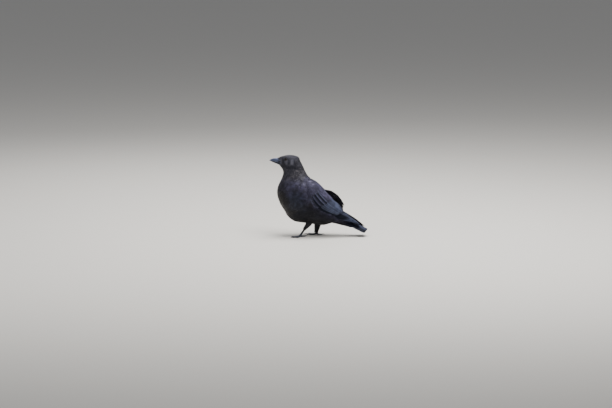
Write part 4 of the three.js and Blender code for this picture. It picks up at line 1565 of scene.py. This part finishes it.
def small_vane():
    """One small pointed vane, 1 by 1, hollowed like a tile; patch holds each point's place on it."""
    half = np.array([0.5, 0.9, 1.0, 0.75, 0.12])[:, None]
    t, x = np.meshgrid([0, 0.3, 0.6, 0.85, 1.0], [-0.5, -0.25, 0, 0.25, 0.5], indexing="ij")
    points = np.stack([x * half, t - 0.16 * (2 * x) ** 2 * t**2, 0.1 * (1 - (2 * x) ** 2)], -1)
    patch = np.stack([x, t, 0 * t], -1).reshape(-1, 3)
    mesh = bpy.data.meshes.new("small_vane")
    mesh.from_pydata(points.reshape(-1, 3).tolist(), [], grid_quads(5, 5)[:, ::-1].tolist())
    mark(mesh, patch=patch, reach=patch[:, 1])
    return bpy.data.objects.new("small_vane", mesh)


def vane_tree(name):
    """Nodes that lay a vane on every root: along its lie, out from its normal, to its own size."""
    tree = bpy.data.node_groups.new(name, "GeometryNodeTree")
    for label, kind, into in (
        ("Roots", "NodeSocketGeometry", "INPUT"),
        ("Vane", "NodeSocketObject", "INPUT"),
        ("Coat", "NodeSocketMaterial", "INPUT"),
        ("Unevenness", "NodeSocketFloat", "INPUT"),
        ("Seed", "NodeSocketInt", "INPUT"),
        ("Feathers", "NodeSocketGeometry", "OUTPUT"),
    ):
        tree.interface.new_socket(label, in_out=into, socket_type=kind)
    add = partial(add_node, tree)
    given = tree.nodes.new("NodeGroupInput").outputs
    kept = {
        key: add("GeometryNodeInputNamedAttribute", key, data_type="FLOAT_VECTOR")
        for key in ("out", "lie", "size", "patch", "root_uv")
    }
    turned = add("FunctionNodeAxesToRotation", kept["out"], kept["lie"], primary_axis="Z", secondary_axis="Y")
    less, more = (add(f"Math {way}", 1.0, given["Unevenness"]) for way in ("SUBTRACT", "ADD"))
    uneven = add("FunctionNodeRandomValue", less, more, add("GeometryNodeInputIndex"), given["Seed"])
    size = add("VectorMath SCALE", kept["size"], uneven)
    vane = add("GeometryNodeObjectInfo", given["Vane"]).node.outputs["Geometry"]
    laid = add("GeometryNodeInstanceOnPoints", given["Roots"], Instance=vane, Rotation=turned, Scale=size)
    laid = add("GeometryNodeRealizeInstances", laid)
    baked = add("VectorMath ADD", add("VectorMath SCALE", kept["patch"], PATCH), kept["root_uv"])
    real = add("VectorMath SCALE", add("VectorMath MULTIPLY", kept["patch"], kept["size"]), 100.0)
    for key, value in (("OFBake", baked), ("vane", real)):
        laid = add(
            "GeometryNodeStoreNamedAttribute", laid, Name=key, Value=value, data_type="FLOAT2",
            domain="CORNER",
        )
    coated = add("GeometryNodeSetMaterial", add("GeometryNodeSetShadeSmooth", laid), Material=given["Coat"])
    plug(tree.nodes.new("NodeGroupOutput").inputs["Feathers"], coated)
    return tree


def vanes_by_nodes(name, surface, place, across, length, width, unwrap, material, rng, rise=0.12, deep=0.6):
    """Small feathers laid by Geometry Nodes at roots on a surface, each rising by a share of its length."""
    n, here = len(place), surface(place, across)
    ahead = surface(place + 0.05, across) - here
    side = np.cross(surface(place, across, 1.0) - here, ahead)
    up, ahead, side = unit(np.cross(ahead, side)), unit(ahead), unit(side)
    lie = unit(ahead + side * rng.normal(0, 0.12, (n, 1)) + up * rng.normal(rise, 0.03, (n, 1)))
    u, v = unwrap(place, across)
    mesh = bpy.data.meshes.new(name)
    mesh.vertices.add(n)
    mesh.vertices.foreach_set("co", to_row(surface(place, across, -deep)).ravel())
    size = np.stack([width, length, 0.5 * (width + length)], 1) / 1000
    mark(mesh, out=up, lie=lie, size=size, root_uv=np.stack([u, v, 0 * u], 1), tone=rng.random(n))
    vane, piece = small_vane(), add_object(name, mesh)
    modifier = piece.modifiers.new("vanes", "NODES")
    modifier.node_group = vane_tree(f"{name}_nodes")
    sockets = {item.name: item.identifier for item in modifier.node_group.interface.items_tree}
    for key, value in (("Vane", vane), ("Coat", material), ("Unevenness", 0.14), ("Seed", plumage().seed)):
        modifier[sockets[key]] = value
    made = bpy.data.meshes.new_from_object(piece.evaluated_get(bpy.context.evaluated_depsgraph_get()))
    piece.modifiers.clear()
    piece.data = made
    made.name = name
    bpy.data.objects.remove(vane)
    settle(piece)


def head_sizes(place):
    """The length and the width of a feather by its place on the head."""
    stops = (0.2, 1, 2.2, 3.6, 5.6, 6.8)
    lengths, widths = (3.0, 4.2, 5.2, 7.0, 9.5, 11.5), (1.5, 1.9, 2.3, 2.9, 3.9, 4.8)
    return np.interp(place, stops, lengths), np.interp(place, stops, widths)


def unwrap_lid(back, up):
    return 0.05 + 0.05 * (back + 9), 0.05 + 0.05 * (up + 9)


def unwrap_bill(share, degrees):
    return 0.01 + 0.95 * np.clip(share, 0, 1), 0.01 + 0.95 * degrees / 180


class CROW_OT_head_coat(bpy.types.Operator):
    """The head's small feathers and the bristles over the nostrils"""

    bl_idname = "crow.head_coat"
    bl_label = "Head coat"

    def execute(self, context):
        rng = np.random.default_rng(plumage().seed + 4)
        face = feather_material("face_plumes")
        place, degrees = staggered(
            head_at, 0.35, 6.9, -90, 270,
            lambda p: 0.3 * head_sizes(p)[0], lambda p: 0.52 * head_sizes(p)[1], rng,
        )
        roots = head_at(place, degrees)
        clear = np.ones(len(place), bool)
        for side in SIDES.values():
            away = roots - eye_middle(side)
            clear &= np.linalg.norm(away, axis=1) > mix(6.9, 6.0, smooth(away[:, 0] / 4 + 0.5))
        # The side of the bill is bare from the corner of the mouth forwards.
        ahead = -96 - roots[:, 0]
        clear &= ~((ahead > 8.2) & (np.abs(roots[:, 2] - 265.5 - 0.5 * ahead) < 0.56 * ahead - 1))
        # The last rows thin out over the neck's longer feathers.
        clear &= rng.random(len(place)) < mix(1.0, 0.12, smooth((place - 5.6) / 1.3))
        place, degrees = place[clear], degrees[clear]
        vanes_by_nodes("coat_head", head_at, place, degrees, *head_sizes(place), unwrap_body, face, rng)
        for word, side in SIDES.items():
            self.round_eye(word, side, face, rng)
        mesh_piece("coat_bristles", joined(self.bristles(context.scene.crow_head, rng)), face)
        return {"FINISHED"}

    def bristles(self, settings, rng):
        """Bristles that lie forwards along the bill from in front of the eyes, and those of the gape"""
        upper, n = bill_at(True), settings.bristles
        plain = {"grid": (7, 2), "camber": 0.0, "roll": 0.0, "fringe": 0.0}
        share = rng.uniform(0.13, 0.27, n)
        angle = 90 + rng.choice([-1.0, 1.0], n) * 46 * rng.random(n) ** 0.8
        length = between(settings.bristle_length * 1000, 0.6, 1.1)
        root = 1.0 + mix(5.6, 2.6, (share - 0.13) / 0.14) * np.sin(np.radians(angle)) ** 2
        over = feathers(
            upper, share, angle, length, (0.6, 1.05), root, (0.25, 1.2), 7, unwrap_bill, rng,
            neck=0.6, settle_down=1.3, blunt=0.12, fullest=0.35, **plain,
        )
        n = 60
        share = rng.uniform(0.12, 0.26, n)
        angle = np.where(rng.random(n) < 0.5, rng.uniform(6, 24, n), rng.uniform(156, 174, n))
        gape = feathers(
            upper, share, angle, (7, 13), (0.45, 0.8), (0.4, 1.0), (0.6, 2.0), 10, unwrap_bill, rng,
            neck=0.8, blunt=0.1, fullest=0.3, **plain,
        )
        return [over, gape]

    def round_eye(self, word, side, face, rng):
        """The tiny feathers that cover the lids' outer slopes, lying backwards like the rest"""
        middle, axis, ahead, above = eye_frame(side)
        back = ahead if ahead[0] > 0 else -ahead
        place, degrees = np.meshgrid(np.linspace(1.0, 5.0, 80), np.linspace(-90, 270, 240))
        around = head_at(place, degrees) - middle
        a, b, high = around @ back, around @ above, around @ axis
        close = (a**2 + b**2 < 100) & (high > 0)

        def terms(a, b):
            return np.stack([a**i * b**j for i in range(4) for j in range(4 - i)], -1)

        fit = np.linalg.lstsq(terms(a[close], b[close]), high[close], rcond=None)[0]

        def slope(a, b, out=0.0):
            """Head and lid as one surface round the eye, by distance back and up from its axis."""
            head, lid = terms(a, b) @ fit, np.interp(np.hypot(a, b), LID["wide"][2:], LID["high"][2:])
            top = np.logaddexp(3 * head, 3 * lid) / 3 + out
            return middle + a[:, None] * back + b[:, None] * above + top[:, None] * axis

        a, b = np.meshgrid(np.arange(-9, 9, 0.62), np.arange(-9, 9, 0.78))
        a = a + 0.31 * (np.arange(len(a)) % 2)[:, None]
        a, b = (v.ravel() + rng.normal(0, 0.08, v.size) for v in (a, b))
        length = rng.uniform(1.9, 2.5, a.size)
        rim = 4.75
        kept = (np.hypot(a, b) > rim) & (np.hypot(a + length, b) > rim) & (np.hypot(a, b) < 7.0)
        kept &= np.hypot(a + length / 2, b) > rim - 0.05
        a, b, length = a[kept], b[kept], length[kept]
        width = rng.uniform(1.1, 1.4, a.size)
        vanes_by_nodes(f"coat_lids_{word}", slope, a, b, length, width, unwrap_lid, face, rng, 0.1, 0.15)


# ---------------------------------------------------------------- register and run


OPERATORS = (
    CROW_OT_stage,
    CROW_OT_skin,
    CROW_OT_body_coat,
    CROW_OT_wings,
    CROW_OT_tail,
    CROW_OT_legs,
    CROW_OT_bill,
    CROW_OT_eyes,
    CROW_OT_head_coat,
)
GROUPS = {"crow_plumage": CrowPlumage, "crow_head": CrowHead, "crow_stage": CrowStage}


class VIEW3D_PT_crow(bpy.types.Panel):
    """Lists the crow's pieces and settings"""

    bl_idname = "VIEW3D_PT_crow"
    bl_label = "Carrion Crow"
    bl_space_type = "VIEW_3D"
    bl_region_type = "UI"
    bl_category = "Crow"

    def draw(self, context):
        for name, group in GROUPS.items():
            settings = getattr(context.scene, name)
            box = self.layout.box()
            for key in group.__annotations__:
                box.prop(settings, key)
        for operator in OPERATORS:
            self.layout.operator(operator.bl_idname)


def register():
    for group in GROUPS.values():
        bpy.utils.register_class(group)
    for name, group in GROUPS.items():
        setattr(bpy.types.Scene, name, PointerProperty(type=group))
    for operator in OPERATORS:
        bpy.utils.register_class(operator)
    bpy.utils.register_class(VIEW3D_PT_crow)


def unregister():
    bpy.utils.unregister_class(VIEW3D_PT_crow)
    for operator in reversed(OPERATORS):
        bpy.utils.unregister_class(operator)
    for name in GROUPS:
        delattr(bpy.types.Scene, name)
    for group in reversed(GROUPS.values()):
        bpy.utils.unregister_class(group)


def main():
    register()
    for operator in OPERATORS:
        group, name = operator.bl_idname.split(".")
        getattr(getattr(bpy.ops, group), name)()


if __name__ == "__main__":
    main()
